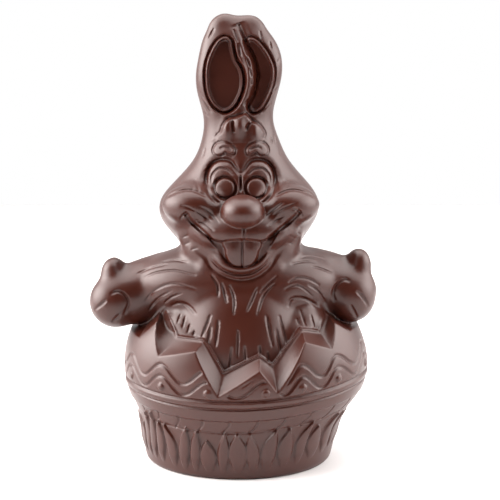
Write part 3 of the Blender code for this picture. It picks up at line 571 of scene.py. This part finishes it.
eyeLines = {
    "socketCut": (3.4, -1.0),
    "heartCut": (1.35, -1.9),
    "lidCut": (0.85, -1.0),
    "ringCut": (1.0, -1.4),
    "ringPoints": 24,
    "ballRise": 0.9,
    "ballFlatness": 3,
    "valleyCut": (0.8, -1.8),
    "heart": ((0.6, 128.7), (-1.4, 131.9), (-3.6, 134.8), (-6.3, 135.7), (-9.0, 135.5), (-11.7, 134.1),
              (-13.7, 131.4), (-14.7, 127.8), (-14.6, 123.8), (-13.5, 120.2), (-11.3, 117.5),
              (-9.1, 115.7)),
    "lid": ((-12.5, 124.3), (-12.1, 128.4), (-9.9, 131.3), (-7.7, 131.8), (-5.0, 131.0), (-2.3, 128.5)),
    "ball": (-6.3, 122.9),
    "ballRadius": 4.2,
    "ringRadius": 4.9,
    "valley": ((0.7, 128.8), (0.7, 125.0), (0.7, 121.0)),
}
mouthLines = {
    "cuts": {
        "cheekCrease": (1.0, -1.3), "dimples": (1.0, -0.9), "corners": (1.5, -1.9),
        "lowerLip": (2.2, 0.9), "chin": (1.8, -0.9), "chinRoll": (1.2, 0.7), "lipGroove": (0.8, -0.9),
        "toothGap": (0.75, -1.1), "philtrum": (0.9, -1.0),
    },
    "edgeSlope": 1.3,
    "swellSizes": (3.0, 5.0),
    "swellRise": 1.2,
    "corners": (
        ((-24.6, 112.0), (-23.3, 110.2), (-21.3, 107.5), (-17.7, 104.3), (-14.5, 101.6), (-12.4, 100.0)),
        ((27.6, 113.0), (26.5, 111.4), (22.9, 107.9), (18.4, 104.3), (14.8, 101.4), (12.8, 100.0)),
    ),
    "opening": ((-14.3, 101.3), (-11.8, 99.6), (-8.7, 98.6), (-5.0, 98.2), (-1.4, 98.4), (1.5, 99.2),
                (4.9, 98.2), (8.1, 98.2), (11.7, 99.3), (14.8, 101.4), (17.4, 103.2), (16.2, 100.2),
                (13.9, 95.7), (11.2, 91.5), (7.6, 88.3), (4.0, 87.0), (0.4, 86.5), (-3.3, 87.2),
                (-6.0, 89.3), (-8.7, 92.9), (-11.4, 96.6)),
    "teeth": ((-6.4, 98.9), (-6.2, 94.7), (-5.5, 91.1), (-3.3, 87.9), (0.8, 86.8), (4.9, 87.4),
              (7.2, 89.7), (8.5, 93.4), (9.0, 98.9)),
    "toothGap": ((1.4, 98.6), (1.4, 87.2)),
    "toothSwells": ((-2.6, 94.0), (5.2, 94.0)),
    "top": 99.0,                      # depths there, and how much they lessen for each millimetre down
    "floor": (-30.4, 0.02),
    "toothFace": (-33.6, 0.08),
    "philtrum": ((2.2, 104.4), (2.2, 99.8)),
    "lowerLip": ((-23.5, 107.5), (-19.0, 101.6), (-14.5, 95.9), (-10.0, 90.4), (-5.5, 86.2),
                 (0.8, 84.9), (6.7, 86.1), (11.2, 89.7), (15.3, 95.4), (19.8, 101.1), (24.7, 107.7)),
    "lipGroove": ((-12.8, 90.6), (-9.1, 87.0), (-4.2, 84.2), (0.8, 83.3), (6.7, 84.7), (11.2, 87.9),
                  (14.0, 91.1)),
    "chinRoll": ((-13.9, 89.9), (-10.1, 85.9), (-4.6, 83.1), (0.8, 82.2), (6.7, 83.3), (11.2, 86.3),
                 (15.1, 90.4)),
    "chin": ((-20.9, 96.1), (-15.0, 91.0), (-12.3, 87.0), (-8.3, 83.8), (-3.7, 81.8), (0.8, 81.0),
             (5.8, 81.6), (10.8, 84.4), (14.0, 87.7), (16.4, 91.5), (20.3, 97.5)),
    "cheekCrease": ((-33.5, 118.3), (-29.0, 120.6), (-23.8, 121.9), (-19.5, 121.3), (-14.8, 119.0)),
    "dimples": (
        ((-26.4, 108.2), (-25.8, 110.0), (-23.9, 111.4), (-22.1, 110.7)),
        ((23.8, 113.6), (26.1, 113.2), (27.7, 111.6), (28.6, 109.3)),
    ),
}
pawLines = {
    "creaseCut": (1.1, -1.0),
    "pitRise": -1.8,
    "creases": (
        ((-58.6, 74.4), (-55.1, 75.8), (-52.0, 74.1), (-50.3, 70.5), (-52.5, 64.9)),
        ((-66.0, 67.0), (-60.4, 71.6)),
        ((-58.1, 61.7), (-54.2, 65.2)),
        ((50.4, 80.3), (47.4, 81.2), (44.0, 78.8), (42.6, 74.5), (43.8, 71.0)),
        ((53.2, 76.0), (56.3, 72.9), (58.8, 68.6)),
        ((50.5, 69.8), (53.7, 63.6)),
    ),
    "thumbPits": (((-50.8, 87.4), (4.2, 4.8)), ((47.8, 90.0), (4.0, 4.6))),
    "haunches": (
        ((-31.0, 69.3), (-27.0, 70.4), (-22.8, 68.9), (-19.5, 65.1)),
        ((22.2, 68.4), (23.3, 71.8), (25.9, 72.8), (30.0, 72.3), (33.7, 70.2), (37.0, 67.4)),
    ),
}

# The cut and the strokes of fur in groups, by the form that they cover.
furStrokes = {
    "ears": ((0.75, -0.7), (
        ((-10.8, 193.9), (-13.4, 189.2)),
        ((9.2, 192.9), (10.3, 187.9)), ((13.6, 188.2), (14.3, 184.5)),
        ((18.0, 180.8), (17.3, 178.5)), ((17.0, 168.7), (15.1, 165.3)),
        ((14.6, 161.6), (9.9, 156.5)), ((-17.0, 164.0), (-12.0, 156.5)),
        ((-17.4, 160.6), (-13.7, 154.8)),
    )),
    "bandBetweenEars": ((0.7, -0.9), (
        ((-2.4, 193.4), (-0.4, 187.6)), ((-0.2, 187.0), (0.8, 181.4)), ((2.2, 185.4), (4.0, 181.6)),
        ((3.4, 180.6), (4.8, 176.6)), ((4.8, 175.8), (5.6, 172.2)), ((5.4, 171.6), (5.8, 168.6)),
        ((5.2, 168.0), (5.2, 165.0)), ((4.2, 163.0), (1.9, 159.6)),
    )),
    "head": ((0.75, -0.62), (
        ((14.3, 145.8), (14.5, 142.6)), ((15.6, 147.2), (16.1, 142.6)), ((18.3, 140.8), (18.8, 137.3)),
        ((-15.2, 141.0), (-16.4, 136.5)), ((-19.9, 127.0), (-17.9, 121.3)),
        ((-21.2, 123.9), (-20.4, 122.3)), ((-28.7, 124.7), (-25.6, 123.9)),
        ((21.1, 127.0), (18.5, 123.6)), ((22.8, 125.5), (21.0, 123.0)),
        ((-26.6, 114.7), (-23.5, 114.3), (-19.9, 112.5)),
        ((-18.1, 114.7), (-14.0, 112.5), (-11.3, 109.8), (-8.9, 106.6)),
        ((-19.4, 112.5), (-15.8, 110.2), (-12.7, 107.5)),
        ((-19.9, 108.4), (-15.9, 107.0), (-11.4, 103.4)),
        ((11.4, 109.3), (14.8, 112.5), (20.2, 116.6)),
        ((15.3, 110.2), (19.3, 113.4), (26.5, 116.3)),
        ((12.6, 105.5), (16.6, 108.4), (21.1, 110.7)),
    )),
    "jaws": ((0.75, -0.6), (
        ((-26.0, 100.5), (-22.4, 101.5)), ((-24.7, 97.3), (-21.9, 98.4)),
        ((-21.9, 95.0), (-18.0, 96.0)), ((22.5, 101.3), (25.6, 100.0)),
        ((26.1, 102.8), (27.7, 101.8)), ((21.4, 98.4), (24.0, 97.6)),
    )),
    "arms": ((0.8, -0.8), (
        ((-46.7, 83.6), (-40.1, 86.4), (-32.1, 88.3)), ((-34.8, 89.2), (-28.9, 89.9), (-23.1, 89.0)),
        ((-43.2, 82.2), (-37.0, 84.6), (-28.6, 85.3), (-19.3, 83.0)),
        ((-43.0, 71.2), (-38.8, 75.8), (-33.5, 78.6), (-28.3, 79.2), (-19.3, 76.7)),
        ((-41.3, 67.0), (-37.1, 72.3), (-30.1, 76.5)), ((-34.3, 70.2), (-30.8, 73.0), (-25.6, 75.1)),
        ((27.9, 91.2), (32.7, 91.7), (39.1, 90.1)), ((23.3, 88.1), (29.1, 89.4), (34.9, 89.1)),
        ((32.5, 87.2), (37.3, 86.1), (41.9, 84.1)),
        ((22.2, 79.7), (26.1, 82.0), (31.3, 81.5), (36.5, 78.6)),
        ((20.4, 76.3), (24.0, 78.1), (27.6, 78.1), (33.8, 73.2)),
        ((31.3, 78.8), (35.6, 76.0), (39.6, 70.1)),
    )),
    "haunches": ((0.7, -0.6), (
        ((-28.3, 60.8), (-26.6, 65.4)), ((-25.9, 58.5), (-24.4, 64.6)), ((-23.6, 56.3), (-22.3, 60.9)),
        ((-21.0, 55.0), (-20.3, 57.6)), ((27.7, 67.3), (30.2, 59.6)), ((32.6, 65.2), (34.2, 58.6)),
        ((26.2, 63.4), (27.0, 60.3)),
    )),
    "chest": ((0.9, -0.9), (
        ((-12.7, 83.4), (-9.9, 78.7), (-9.6, 73.1)), ((-7.8, 79.7), (-5.5, 70.2)),
        ((-4.4, 78.7), (-2.3, 72.3), (-2.6, 64.6)), ((8.4, 77.6), (3.4, 66.2)),
        ((17.2, 82.9), (9.2, 75.0)), ((16.4, 79.7), (11.2, 73.9), (8.1, 64.6)),
        ((-9.4, 62.8), (-10.8, 49.9)), ((-0.5, 58.0), (-0.8, 44.6)), ((-3.4, 49.9), (-4.5, 39.8)),
        ((2.4, 50.5), (2.9, 43.5)), ((9.2, 50.5), (9.7, 46.2)), ((12.9, 47.8), (13.7, 41.9)),
        ((12.3, 64.9), (15.2, 49.9)), ((18.1, 64.9), (21.8, 51.0)), ((16.8, 58.5), (19.2, 46.2)),
        ((-12.9, 65.1), (-17.2, 54.2)), ((-12.9, 59.6), (-14.3, 51.6)),
    )),
}

backLines = {
    "partingCuts": ((3.2, -1.8), (1.0, -0.9)),
    "strokeCut": (0.9, -0.9),
    "parting": ((-1.4, 197), (-0.8, 190), (0.2, 182), (0.6, 173), (0.4, 164), (0.6, 156)),
    "strokes": (
        ((-11, 186), (-11.8, 181)), ((-13.5, 172), (-13.2, 167)), ((-6.5, 178), (-6.9, 173)),
        ((-8, 163), (-7.2, 157.5)), ((-5, 150), (-5.6, 143.5)), ((-11, 144), (-13, 138)),
        ((-4, 136.5), (-4.6, 130)), ((-15.5, 131), (-18.5, 125.5)), ((-9.5, 127), (-10.8, 120.5)),
        ((-22, 119), (-24.5, 113)), ((-3.5, 118), (-3.8, 111.5)), ((-13.5, 111), (-15, 104.5)),
        ((-18, 90), (-25, 87.5)), ((-24, 83.5), (-32, 81.5)), ((-6, 90), (-6.8, 83)),
        ((-12, 82), (-13.6, 75)), ((-34, 87), (-41, 85)), ((-37, 77.5), (-43.5, 76)),
    ),
}


def drawEars(sheet, points):
    drawLine(sheet, earLines["crease"], earLines["valleyCut"])
    drawLine(sheet, earLines["ridge"], earLines["ridgeCut"])
    for hollow, beadEnd in zip(earLines["hollows"], earLines["beadEnds"]):
        depth = earLines["floor"] + earLines["slant"] * (sheet["up"] - earLines["level"])
        floorEdge = widened(hollow, earLines["floorMargin"])
        drawFloor(sheet, floorEdge, points[:, 1] - depth, earLines["floorSlope"])
        closed = beadEnd == len(hollow)
        groove = widened(hollow, earLines["grooveMargin"])[:beadEnd]
        drawLine(sheet, groove, earLines["grooveCut"], tapered=False, closed=closed)
        drawLine(sheet, hollow[:beadEnd], earLines["beadCut"], tapered=not closed, closed=closed)
    drawLine(sheet, earLines["crease"], earLines["creaseCut"])


def drawBrows(sheet):
    tuft = browLines["tuft"]
    drawArea(sheet, tuft, browLines["tuftRise"], browLines["tuftSlope"], *browLines["tuftFade"])
    drawLine(sheet, tuft, browLines["tuftCut"])
    for groove in browLines["tuftGrooves"]:
        drawLine(sheet, groove, browLines["grooveCut"])
    for lobe in browLines["tuftLobes"]:
        drawSwell(sheet, lobe, browLines["lobeSizes"], browLines["lobeRise"])
    for flip in (tuple, mirrored):
        brow = flip(browLines["brow"])
        drawArea(sheet, brow, browLines["browRise"], browLines["browSlope"])
        ring = widened(brow, browLines["ringMargin"])
        drawLine(sheet, ring, browLines["ringCut"], tapered=False, closed=True)
        drawLine(sheet, flip(browLines["browFold"]), browLines["foldCut"])


def drawEyes(sheet):
    turn = np.linspace(0, 2 * np.pi, eyeLines["ringPoints"], endpoint=False)
    ring = eyeLines["ringRadius"] * np.stack((np.cos(turn), np.sin(turn)), axis=1)
    for flip in (tuple, mirrored):
        drawLine(sheet, flip(eyeLines["heart"]), eyeLines["socketCut"])
        drawLine(sheet, flip(eyeLines["heart"]), eyeLines["heartCut"])
        drawLine(sheet, flip(eyeLines["lid"]), eyeLines["lidCut"])
        middle = flip((eyeLines["ball"],))[0]
        drawLine(sheet, ring + middle, eyeLines["ringCut"], tapered=False, closed=True)
        sizes = (eyeLines["ballRadius"],) * 2
        drawDome(sheet, middle, sizes, eyeLines["ballRise"], eyeLines["ballFlatness"])
    drawLine(sheet, eyeLines["valley"], eyeLines["valleyCut"])


def drawMouth(sheet, points):
    cuts = mouthLines["cuts"]
    for flip in (tuple, mirrored):
        drawLine(sheet, flip(mouthLines["cheekCrease"]), cuts["cheekCrease"])
    for dimple in mouthLines["dimples"]:
        drawLine(sheet, dimple, cuts["dimples"])
    for line in ("lowerLip", "chin", "chinRoll", "lipGroove"):
        drawLine(sheet, mouthLines[line], cuts[line])
    down = mouthLines["top"] - sheet["up"]
    depth, slant = mouthLines["floor"]
    drawFloor(sheet, mouthLines["opening"], points[:, 1] - depth - slant * down, mouthLines["edgeSlope"])
    for corner in mouthLines["corners"]:
        drawLine(sheet, corner, cuts["corners"])
    depth, slant = mouthLines["toothFace"]
    drawFloor(sheet, mouthLines["teeth"], points[:, 1] - depth - slant * down, mouthLines["edgeSlope"])
    for middle in mouthLines["toothSwells"]:
        drawSwell(sheet, middle, mouthLines["swellSizes"], mouthLines["swellRise"])
    for line in ("toothGap", "philtrum"):
        drawLine(sheet, mouthLines[line], cuts[line], tapered=False)


def drawPaws(sheet):
    for line in pawLines["creases"] + pawLines["haunches"]:
        drawLine(sheet, line, pawLines["creaseCut"])
    for middle, sizes in pawLines["thumbPits"]:
        drawSwell(sheet, middle, sizes, pawLines["pitRise"])


def drawFur(sheet):
    for cut, strokes in furStrokes.values():
        for stroke in strokes:
            drawLine(sheet, stroke, cut)


def asSeen(points):                   # places as seen from the eye on the upright plane
    eye = np.array(viewpoint["eye"])
    scale = -eye[1] / (points[:, 1] - eye[1])
    return eye[0] + (points[:, 0] - eye[0]) * scale, eye[2] + (points[:, 2] - eye[2]) * scale


def backRelief(figure):               # a guess: the mould's other half carries the same kind of fur
    points = pointsOf(figure)
    sheet = newSheet(points[:, 0], points[:, 2])
    for cut in backLines["partingCuts"]:
        drawLine(sheet, backLines["parting"], cut)
    for stroke in backLines["strokes"]:
        for flip in (tuple, mirrored):
            drawLine(sheet, flip(stroke), backLines["strokeCut"])
    facing = pointsOf(figure, "normal")[:, 1]
    points[:, 1] += sheet["height"] * softStep(facing * figureFinish["reliefFade"])
    movePoints(figure, points)


def drawRim(sheet):
    edge = rimEdges(1)[:len(eggForm["frontRim"])]
    crest = eggPoint(edge[:, 0], edge[:, 1] + eggForm["lip"], eggForm["shell"] + eggForm["beadInward"])
    drawLine(sheet, np.stack(asSeen(crest), axis=1), eggForm["beadCut"], straight=True)


def frontRelief(figure):              # heights are raised towards the eye, and die away past the edge
    points = pointsOf(figure)
    eye = np.array(viewpoint["eye"])
    sheet = newSheet(*asSeen(points))
    drawEars(sheet, points)
    drawBrows(sheet)
    drawEyes(sheet)
    drawMouth(sheet, points)
    drawPaws(sheet)
    drawFur(sheet)
    drawRim(sheet)
    towards = eye - points
    towards /= np.linalg.norm(towards, axis=1)[:, None]
    facing = (pointsOf(figure, "normal") * towards).sum(axis=1)
    height = sheet["height"] * softStep(facing * figureFinish["reliefFade"])
    movePoints(figure, points + towards * height[:, None])


eggPattern = {
    "tilt": 0.035,                    # how the bands rise across the front, and at the sides
    "sideRise": 3.7,
    "rings": (36.9, 33.2),
    "ringCut": (0.9, -0.8),
    "swellCut": (2.2, 0.5),           # the swell between the rings
    "bandFoot": 27.2,
    "baseStep": 0.8,                  # how far the base stands back under the band
    "baseEdge": (0.6, 0.9),           # where that step starts over the band's foot, and its height
    "baseFade": (3.0, 12.0),          # it dies away to this height, and over how much
    "tiles": 26,
    "tileTurn": 7.6,                  # degrees
    "tileEdge": ((0.0, 27.4), (-0.6, 24.8), (-2.8, 21.9)),
    "tileCut": (0.8, -0.5),
    "tileFoot": 21.8,
    "tileFootCut": (0.8, -0.4),
    "frontCrests": (-66.1, -41.3, -17.0, 8.8, 26.1, 46.4, 75.0),
    "backCrests": 8,
    "waveHeight": 3.3,
    "waveLevels": (46.7, 41.8),
    "waveStep": 2.0,
    "waveCut": (1.0, -0.75),
    "domeLevel": 40.2,
    "domeRadius": 1.7,
    "domeRise": 1.0,
    "rimMargin": 1.2,                 # how far under the crack the waves and domes start
    "sideShares": (0.4, 0.6),         # of the relief: at the sides, and added towards the front and back
    "skin": (0.965, 0.02),            # share of the egg's radius where its skin starts, and its depth
    "standFade": 1.5,                 # height over which the relief comes in, from the foot up
    "degree": 0.87,                   # millimetres round the egg for each degree
}
grass = {
    "rise": 1.3,
    "edge": 1.0,
    "foot": 4.5,
    "footFade": (2.0, 7.0),
    "crown": (0.4, 0.6),              # share of the rise at a leaf's edge, and what its middle adds
    # A leaf's side, from the foot up: shares of its half width, of its lean and of its height.
    "side": (
        (0.3, 0.0, -0.06), (0.75, 0.03, 0.16), (1.05, 0.15, 0.42), (0.8, 0.45, 0.68), (0.35, 0.82, 0.88),
    ),
    # Place of the tip round the base, its height, and the two sides of the foot.
    "frontBlades": (
        (-54.0, 24.5, -58.5, -52.5), (-48.0, 25.5, -53.0, -47.0), (-43.6, 23.0, -46.5, -40.5),
        (-39.6, 22.0, -38.0, -31.4), (-26.4, 22.9, -31.2, -24.9), (-20.8, 22.1, -24.4, -19.0),
        (-15.6, 18.0, -18.6, -10.4), (-7.1, 21.8, -10.0, -4.6), (-1.7, 21.4, -4.2, 4.6),
        (4.3, 20.7, 4.6, 10.8), (16.2, 21.6, 10.6, 18.2), (22.9, 21.3, 19.4, 27.4),
        (34.7, 22.2, 28.2, 34.8), (40.2, 18.6, 36.0, 45.5), (53.0, 20.6, 46.5, 54.5),
    ),
    "backBlades": 34,
    "backLeans": (-0.1, 1.1),
    "backTops": (17.5, 20.5),
    "backWidths": (0.9, 1.2),
    "seed": 4,
}


def drawBands(sheet):
    for ring in eggPattern["rings"]:
        drawHoop(sheet, ring, eggPattern["ringCut"])
    drawHoop(sheet, sum(eggPattern["rings"]) / 2, eggPattern["swellCut"])
    start, over = eggPattern["baseFade"]
    foot = softStep((sheet["up"] - start) / over)
    start, over = eggPattern["baseEdge"]
    under = softStep((eggPattern["bandFoot"] + start - sheet["up"]) / over)
    sheet["height"] -= eggPattern["baseStep"] * under * foot
    drawHoop(sheet, eggPattern["tileFoot"], eggPattern["tileFootCut"])
    for tile in range(-eggPattern["tiles"] // 2, eggPattern["tiles"] // 2):
        place = (360 / eggPattern["tiles"] * tile + eggPattern["tileTurn"]) * eggPattern["degree"]
        edge = [(place + across, up) for across, up in eggPattern["tileEdge"]]
        drawLine(sheet, edge, eggPattern["tileCut"], tapered=False)


def drawWaves(sheet):
    front = eggPattern["frontCrests"]
    back = np.linspace(front[-1], front[0] + 360, eggPattern["backCrests"] + 2)[1:]
    crests = np.concatenate((front, back))
    turns = np.arange(front[0], front[0] + 361, eggPattern["waveStep"])
    swing = np.cos(2 * np.pi * np.interp(turns, crests, range(len(crests))))
    for level in eggPattern["waveLevels"]:
        wave = np.stack((turns * eggPattern["degree"], level + eggPattern["waveHeight"] * swing), axis=1)
        drawLine(sheet, wave, eggPattern["waveCut"], tapered=False)
    for crest in crests[:-1]:
        middle = (crest * eggPattern["degree"], eggPattern["domeLevel"])
        drawDome(sheet, middle, (eggPattern["domeRadius"],) * 2, eggPattern["domeRise"])


def drawBlade(sheet, tip, top, left, right):    # a leaf, rounded across and pointed at both ends
    foot = grass["foot"]
    half = (right - left) / 2
    middle = (left + right) / 2
    lean = tip - middle
    rise = top - foot
    outline = [(middle - out * half + bend * lean, foot + up * rise) for out, bend, up in grass["side"]]
    outline.append((tip, top))
    outline += [(middle + out * half + bend * lean, foot + up * rise)
                for out, bend, up in reversed(grass["side"])]
    chosen, share = insideShare(sheet, outline, grass["edge"])
    across = sheet["across"][chosen] - middle
    upward = np.clip((sheet["up"][chosen] - foot) / rise, 0, 1)
    off = np.clip((across - lean * upward ** 2) / half, -1, 1)
    low, added = grass["crown"]
    height = grass["rise"] * share * (low + added * np.sqrt(1 - off ** 2))
    sheet["height"][chosen] = np.maximum(sheet["height"][chosen], height)


def drawGrass(sheet):
    chance = np.random.default_rng(grass["seed"])
    blades = newSheet(sheet["across"], sheet["up"])
    front = grass["frontBlades"]
    for blade in front:
        drawBlade(blades, *blade)
    start = front[-1][3]
    width = (360 * eggPattern["degree"] + front[0][2] - start) / grass["backBlades"]
    for blade in range(grass["backBlades"]):
        left = start + width * blade
        turn = 360 * eggPattern["degree"] if left + width / 2 > 180 * eggPattern["degree"] else 0
        lean = chance.uniform(*grass["backLeans"])
        top = chance.uniform(*grass["backTops"])
        right = left - turn + width * chance.uniform(*grass["backWidths"])
        drawBlade(blades, left - turn + width * lean, top, left - turn, right)
    start, over = grass["footFade"]
    sheet["height"] += blades["height"] * softStep((sheet["up"] - start) / over)


def eggRelief(figure):                # drawn on the unrolled egg and base, and raised outwards
    points = pointsOf(figure)
    middle, width, depth = eggGirth(points[:, 2])
    across = (points[:, 0] - middle) / width
    along = -points[:, 1] / depth
    azimuth = np.degrees(np.arctan2(across, along))
    rise = eggPattern["tilt"] * points[:, 0] + eggPattern["sideRise"] * np.sin(np.radians(azimuth)) ** 2
    level = points[:, 2] - rise
    sheet = newSheet(azimuth * eggPattern["degree"], level)
    drawBands(sheet)
    drawGrass(sheet)
    turned = np.where(azimuth < eggPattern["frontCrests"][0], azimuth + 360, azimuth)
    figures = newSheet(turned * eggPattern["degree"], level)
    drawWaves(figures)
    rim = rimEdges(1)[:-1]
    order = np.argsort(rim[:, 2] % 360)
    rimHeight = np.interp(azimuth % 360, rim[order, 2] % 360, rim[order, 3], period=360)
    atSides, added = eggPattern["sideShares"]
    flatter = atSides + added * np.sqrt(np.abs(np.cos(np.radians(azimuth))))
    margin = eggPattern["rimMargin"]
    height = sheet["height"] + figures["height"] * softStep((rimHeight - points[:, 2] - margin) / margin)
    outward = np.stack((across / width, -along / depth, across * 0), axis=1)
    outward /= np.linalg.norm(outward, axis=1)[:, None]
    start, over = eggPattern["skin"]
    skin = softStep((np.hypot(across, along) - start) / over)
    skin = skin * softStep(points[:, 2] / eggPattern["standFade"])
    movePoints(figure, points + outward * (height * flatter * skin)[:, None])


def finishFigure(figure):             # thinned, cut level at the foot, scaled and set on the frame
    triangles = 2 * len(figure.data.polygons)
    applyModifier(figure, "DECIMATE", ratio=min(1.0, figureFinish["triangles"] / triangles))
    editAll()
    bpy.ops.mesh.bisect(plane_co=(0, 0, 0), plane_no=(0, 0, 1), use_fill=True, clear_inner=True)
    bpy.ops.mesh.select_all(action="SELECT")
    bpy.ops.mesh.quads_convert_to_tris()
    bpy.ops.object.mode_set(mode="OBJECT")
    points = pointsOf(figure)
    low = points.min(axis=0)
    high = points.max(axis=0)
    cadMiddle = (np.array(cadBox[0]) + np.array(cadBox[1])) / 2
    shift = np.array((cadMiddle[0], cadMiddle[1], cadBox[0][2])) / millimetre
    shift -= np.array(((low[0] + high[0]) / 2, (low[1] + high[1]) / 2, low[2]))
    movePoints(figure, (points + shift) * millimetre)
    makeActive(figure)
    bpy.ops.object.shade_smooth()
    applyModifier(figure, "WEIGHTED_NORMAL")
    return shift


def linearColour(hexColour):
    parts = [int(hexColour[i:i + 2], 16) / 255 for i in (1, 3, 5)]
    return [part / 12.92 if part <= 0.04045 else ((part + 0.055) / 1.055) ** 2.4 for part in parts] + [1.0]


def addNode(tree, kind, settings=None, links=None):
    node = tree.nodes.new(kind)
    for name, value in (settings or {}).items():
        if name in node.inputs:
            node.inputs[name].default_value = value
        else:
            setattr(node, name, value)
    for name, source in (links or {}).items():
        tree.links.new(source, node.inputs[name])
    return node


chocolateFinish = {
    "thick": "#311108",               # colour of the thick, dark parts
    "thin": "#3c160b",                # a little warmer where the cocoa butter shows
    "patch": (14.0, 3.0),             # millimetres across one patch of colour, and its detail
    "satin": (0.32, 0.39),            # roughness, as the mould's polish varies
    "grain": (0.5, 2.0),              # millimetres between the finest pits, and their detail
    "pitDepth": 0.05,                 # millimetres
    "pitStrength": 0.05,
    "ior": 1.46,                      # cocoa butter
}


def addNoise(tree, place, size, detail):
    return addNode(tree, "ShaderNodeTexNoise", {"Scale": 1 / (size * millimetre), "Detail": detail},
                   {"Vector": place})


def addBlend(tree, share, first, second):
    blend = addNode(tree, "ShaderNodeMix", {"data_type": "RGBA"}, {"Factor": share})
    blend.inputs[6].default_value = linearColour(first)
    blend.inputs[7].default_value = linearColour(second)
    return blend.outputs[2]


def tempered(name):                   # moulded tempered chocolate: satin gloss from the polished mould
    material = bpy.data.materials.new(name)
    material.use_nodes = True
    tree = material.node_tree
    tree.nodes.clear()
    output = addNode(tree, "ShaderNodeOutputMaterial")
    place = addNode(tree, "ShaderNodeTexCoord").outputs["Object"]
    patches = addNoise(tree, place, *chocolateFinish["patch"])
    colour = addBlend(tree, patches.outputs["Fac"], chocolateFinish["thick"], chocolateFinish["thin"])
    low, high = chocolateFinish["satin"]
    satin = addNode(tree, "ShaderNodeMapRange", {"To Min": low, "To Max": high},
                    {"Value": patches.outputs["Fac"]})
    grain = addNoise(tree, place, *chocolateFinish["grain"])
    bump = addNode(tree, "ShaderNodeBump",
                   {"Strength": chocolateFinish["pitStrength"],
                    "Distance": chocolateFinish["pitDepth"] * millimetre},
                   {"Height": grain.outputs["Fac"]})
    surface = addNode(tree, "ShaderNodeBsdfPrincipled", {"IOR": chocolateFinish["ior"], "Metallic": 0.0},
                      {"Base Color": colour, "Roughness": satin.outputs["Result"],
                       "Normal": bump.outputs["Normal"]})
    tree.links.new(surface.outputs["BSDF"], output.inputs["Surface"])
    return material


stageSetup = {
    "floorSize": 1.7,
    "floorMiddle": 0.25,               # metres behind the figure, so that the board's front edge is near
    "floor": "#e4e4e4",
    "floorRoughness": 0.6,
    # Place in metres, side lengths, watts, and the degrees that the lamp's grid lets light fan out.
    "lamps": {
        "left": ((-0.90, 0.00, 0.50), (1.5, 1.3), 19.0, 85.0),
        "right": ((0.90, 0.03, 0.50), (1.5, 1.3), 10.8, 85.0),
        "top": ((0.0, 0.10, 1.20), (1.5, 1.2), 27.0, 180.0),
    },
    "aim": (0.0, 0.0, 0.10),
    "lampColour": (1.0, 0.94, 0.92),
    "surround": ("#181818", "#ffffff"),    # in front of the figure and behind it
    "surroundEdges": (-0.6, 0.5),          # directions between which the one fades into the other
}


def addStage(shift):
    bpy.ops.mesh.primitive_plane_add(size=stageSetup["floorSize"],
                                     location=(0, stageSetup["floorMiddle"], cadBox[0][2]))
    floor = bpy.context.object
    floor.name = "pale_floor"
    paint = bpy.data.materials.new("matt_white_board")
    paint.use_nodes = True
    surface = paint.node_tree.nodes["Principled BSDF"]
    surface.inputs["Base Color"].default_value = linearColour(stageSetup["floor"])
    surface.inputs["Roughness"].default_value = stageSetup["floorRoughness"]
    floor.data.materials.append(paint)
    for name, (place, size, watts, fan) in stageSetup["lamps"].items():
        bpy.ops.object.light_add(type="AREA", location=place)
        lamp = bpy.context.object
        lamp.name = name + "_softbox"
        lamp.data.shape = "RECTANGLE"
        lamp.data.size, lamp.data.size_y = size
        lamp.data.energy = watts
        lamp.data.spread = math.radians(fan)
        lamp.data.color = stageSetup["lampColour"]
        away = [goal - start for goal, start in zip(stageSetup["aim"], place)]
        lamp.rotation_euler = (math.atan2(math.hypot(away[0], away[1]), -away[2]), 0,
                               math.atan2(-away[0], away[1]) if away[0] or away[1] else 0)
    world = bpy.data.worlds.new("studio")
    bpy.context.scene.world = world
    world.use_nodes = True
    tree = world.node_tree
    tree.nodes.clear()
    direction = addNode(tree, "ShaderNodeTexCoord")
    parts = addNode(tree, "ShaderNodeSeparateXYZ", None, {"Vector": direction.outputs["Generated"]})
    start, end = stageSetup["surroundEdges"]
    share = addNode(tree, "ShaderNodeMapRange", {"From Min": start, "From Max": end},
                    {"Value": parts.outputs["Y"]})
    colour = addBlend(tree, share.outputs["Result"], *stageSetup["surround"])
    light = addNode(tree, "ShaderNodeBackground", None, {"Color": colour})
    output = addNode(tree, "ShaderNodeOutputWorld")
    tree.links.new(light.outputs["Background"], output.inputs["Surface"])
    bpy.ops.object.camera_add()
    camera = bpy.context.object
    camera.location = (np.array(viewpoint["eye"]) + shift) * millimetre
    camera.rotation_euler = (math.radians(90 - viewpoint["pitch"]), 0, 0)
    camera.data.sensor_width = viewpoint["sensor"]
    camera.data.lens = viewpoint["sensor"] * viewpoint["focalLength"]
    bpy.context.scene.camera = camera
    bpy.context.scene.view_settings.view_transform = "Standard"


figure = softFigure()
print("soft forms blended:", len(figure.data.vertices), "points")
joinPieces(figure, [addEgg(), addBall(nose["middle"], nose["sizes"])])
rework(figure, figureFinish["fineVoxel"], figureFinish["finePasses"])
print("egg and nose joined:", len(figure.data.vertices), "points")
frontRelief(figure)
backRelief(figure)
eggRelief(figure)
print("relief drawn")
shift = finishFigure(figure)
figure.name = "moulded_rabbit_in_egg"
print("figure finished:", len(figure.data.polygons), "triangles")
figure.data.materials.clear()
figure.data.materials.append(tempered("tempered_dark_chocolate"))
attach(figure, "root")
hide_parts("chocolate_figure")
addStage(shift)
print("stage set")
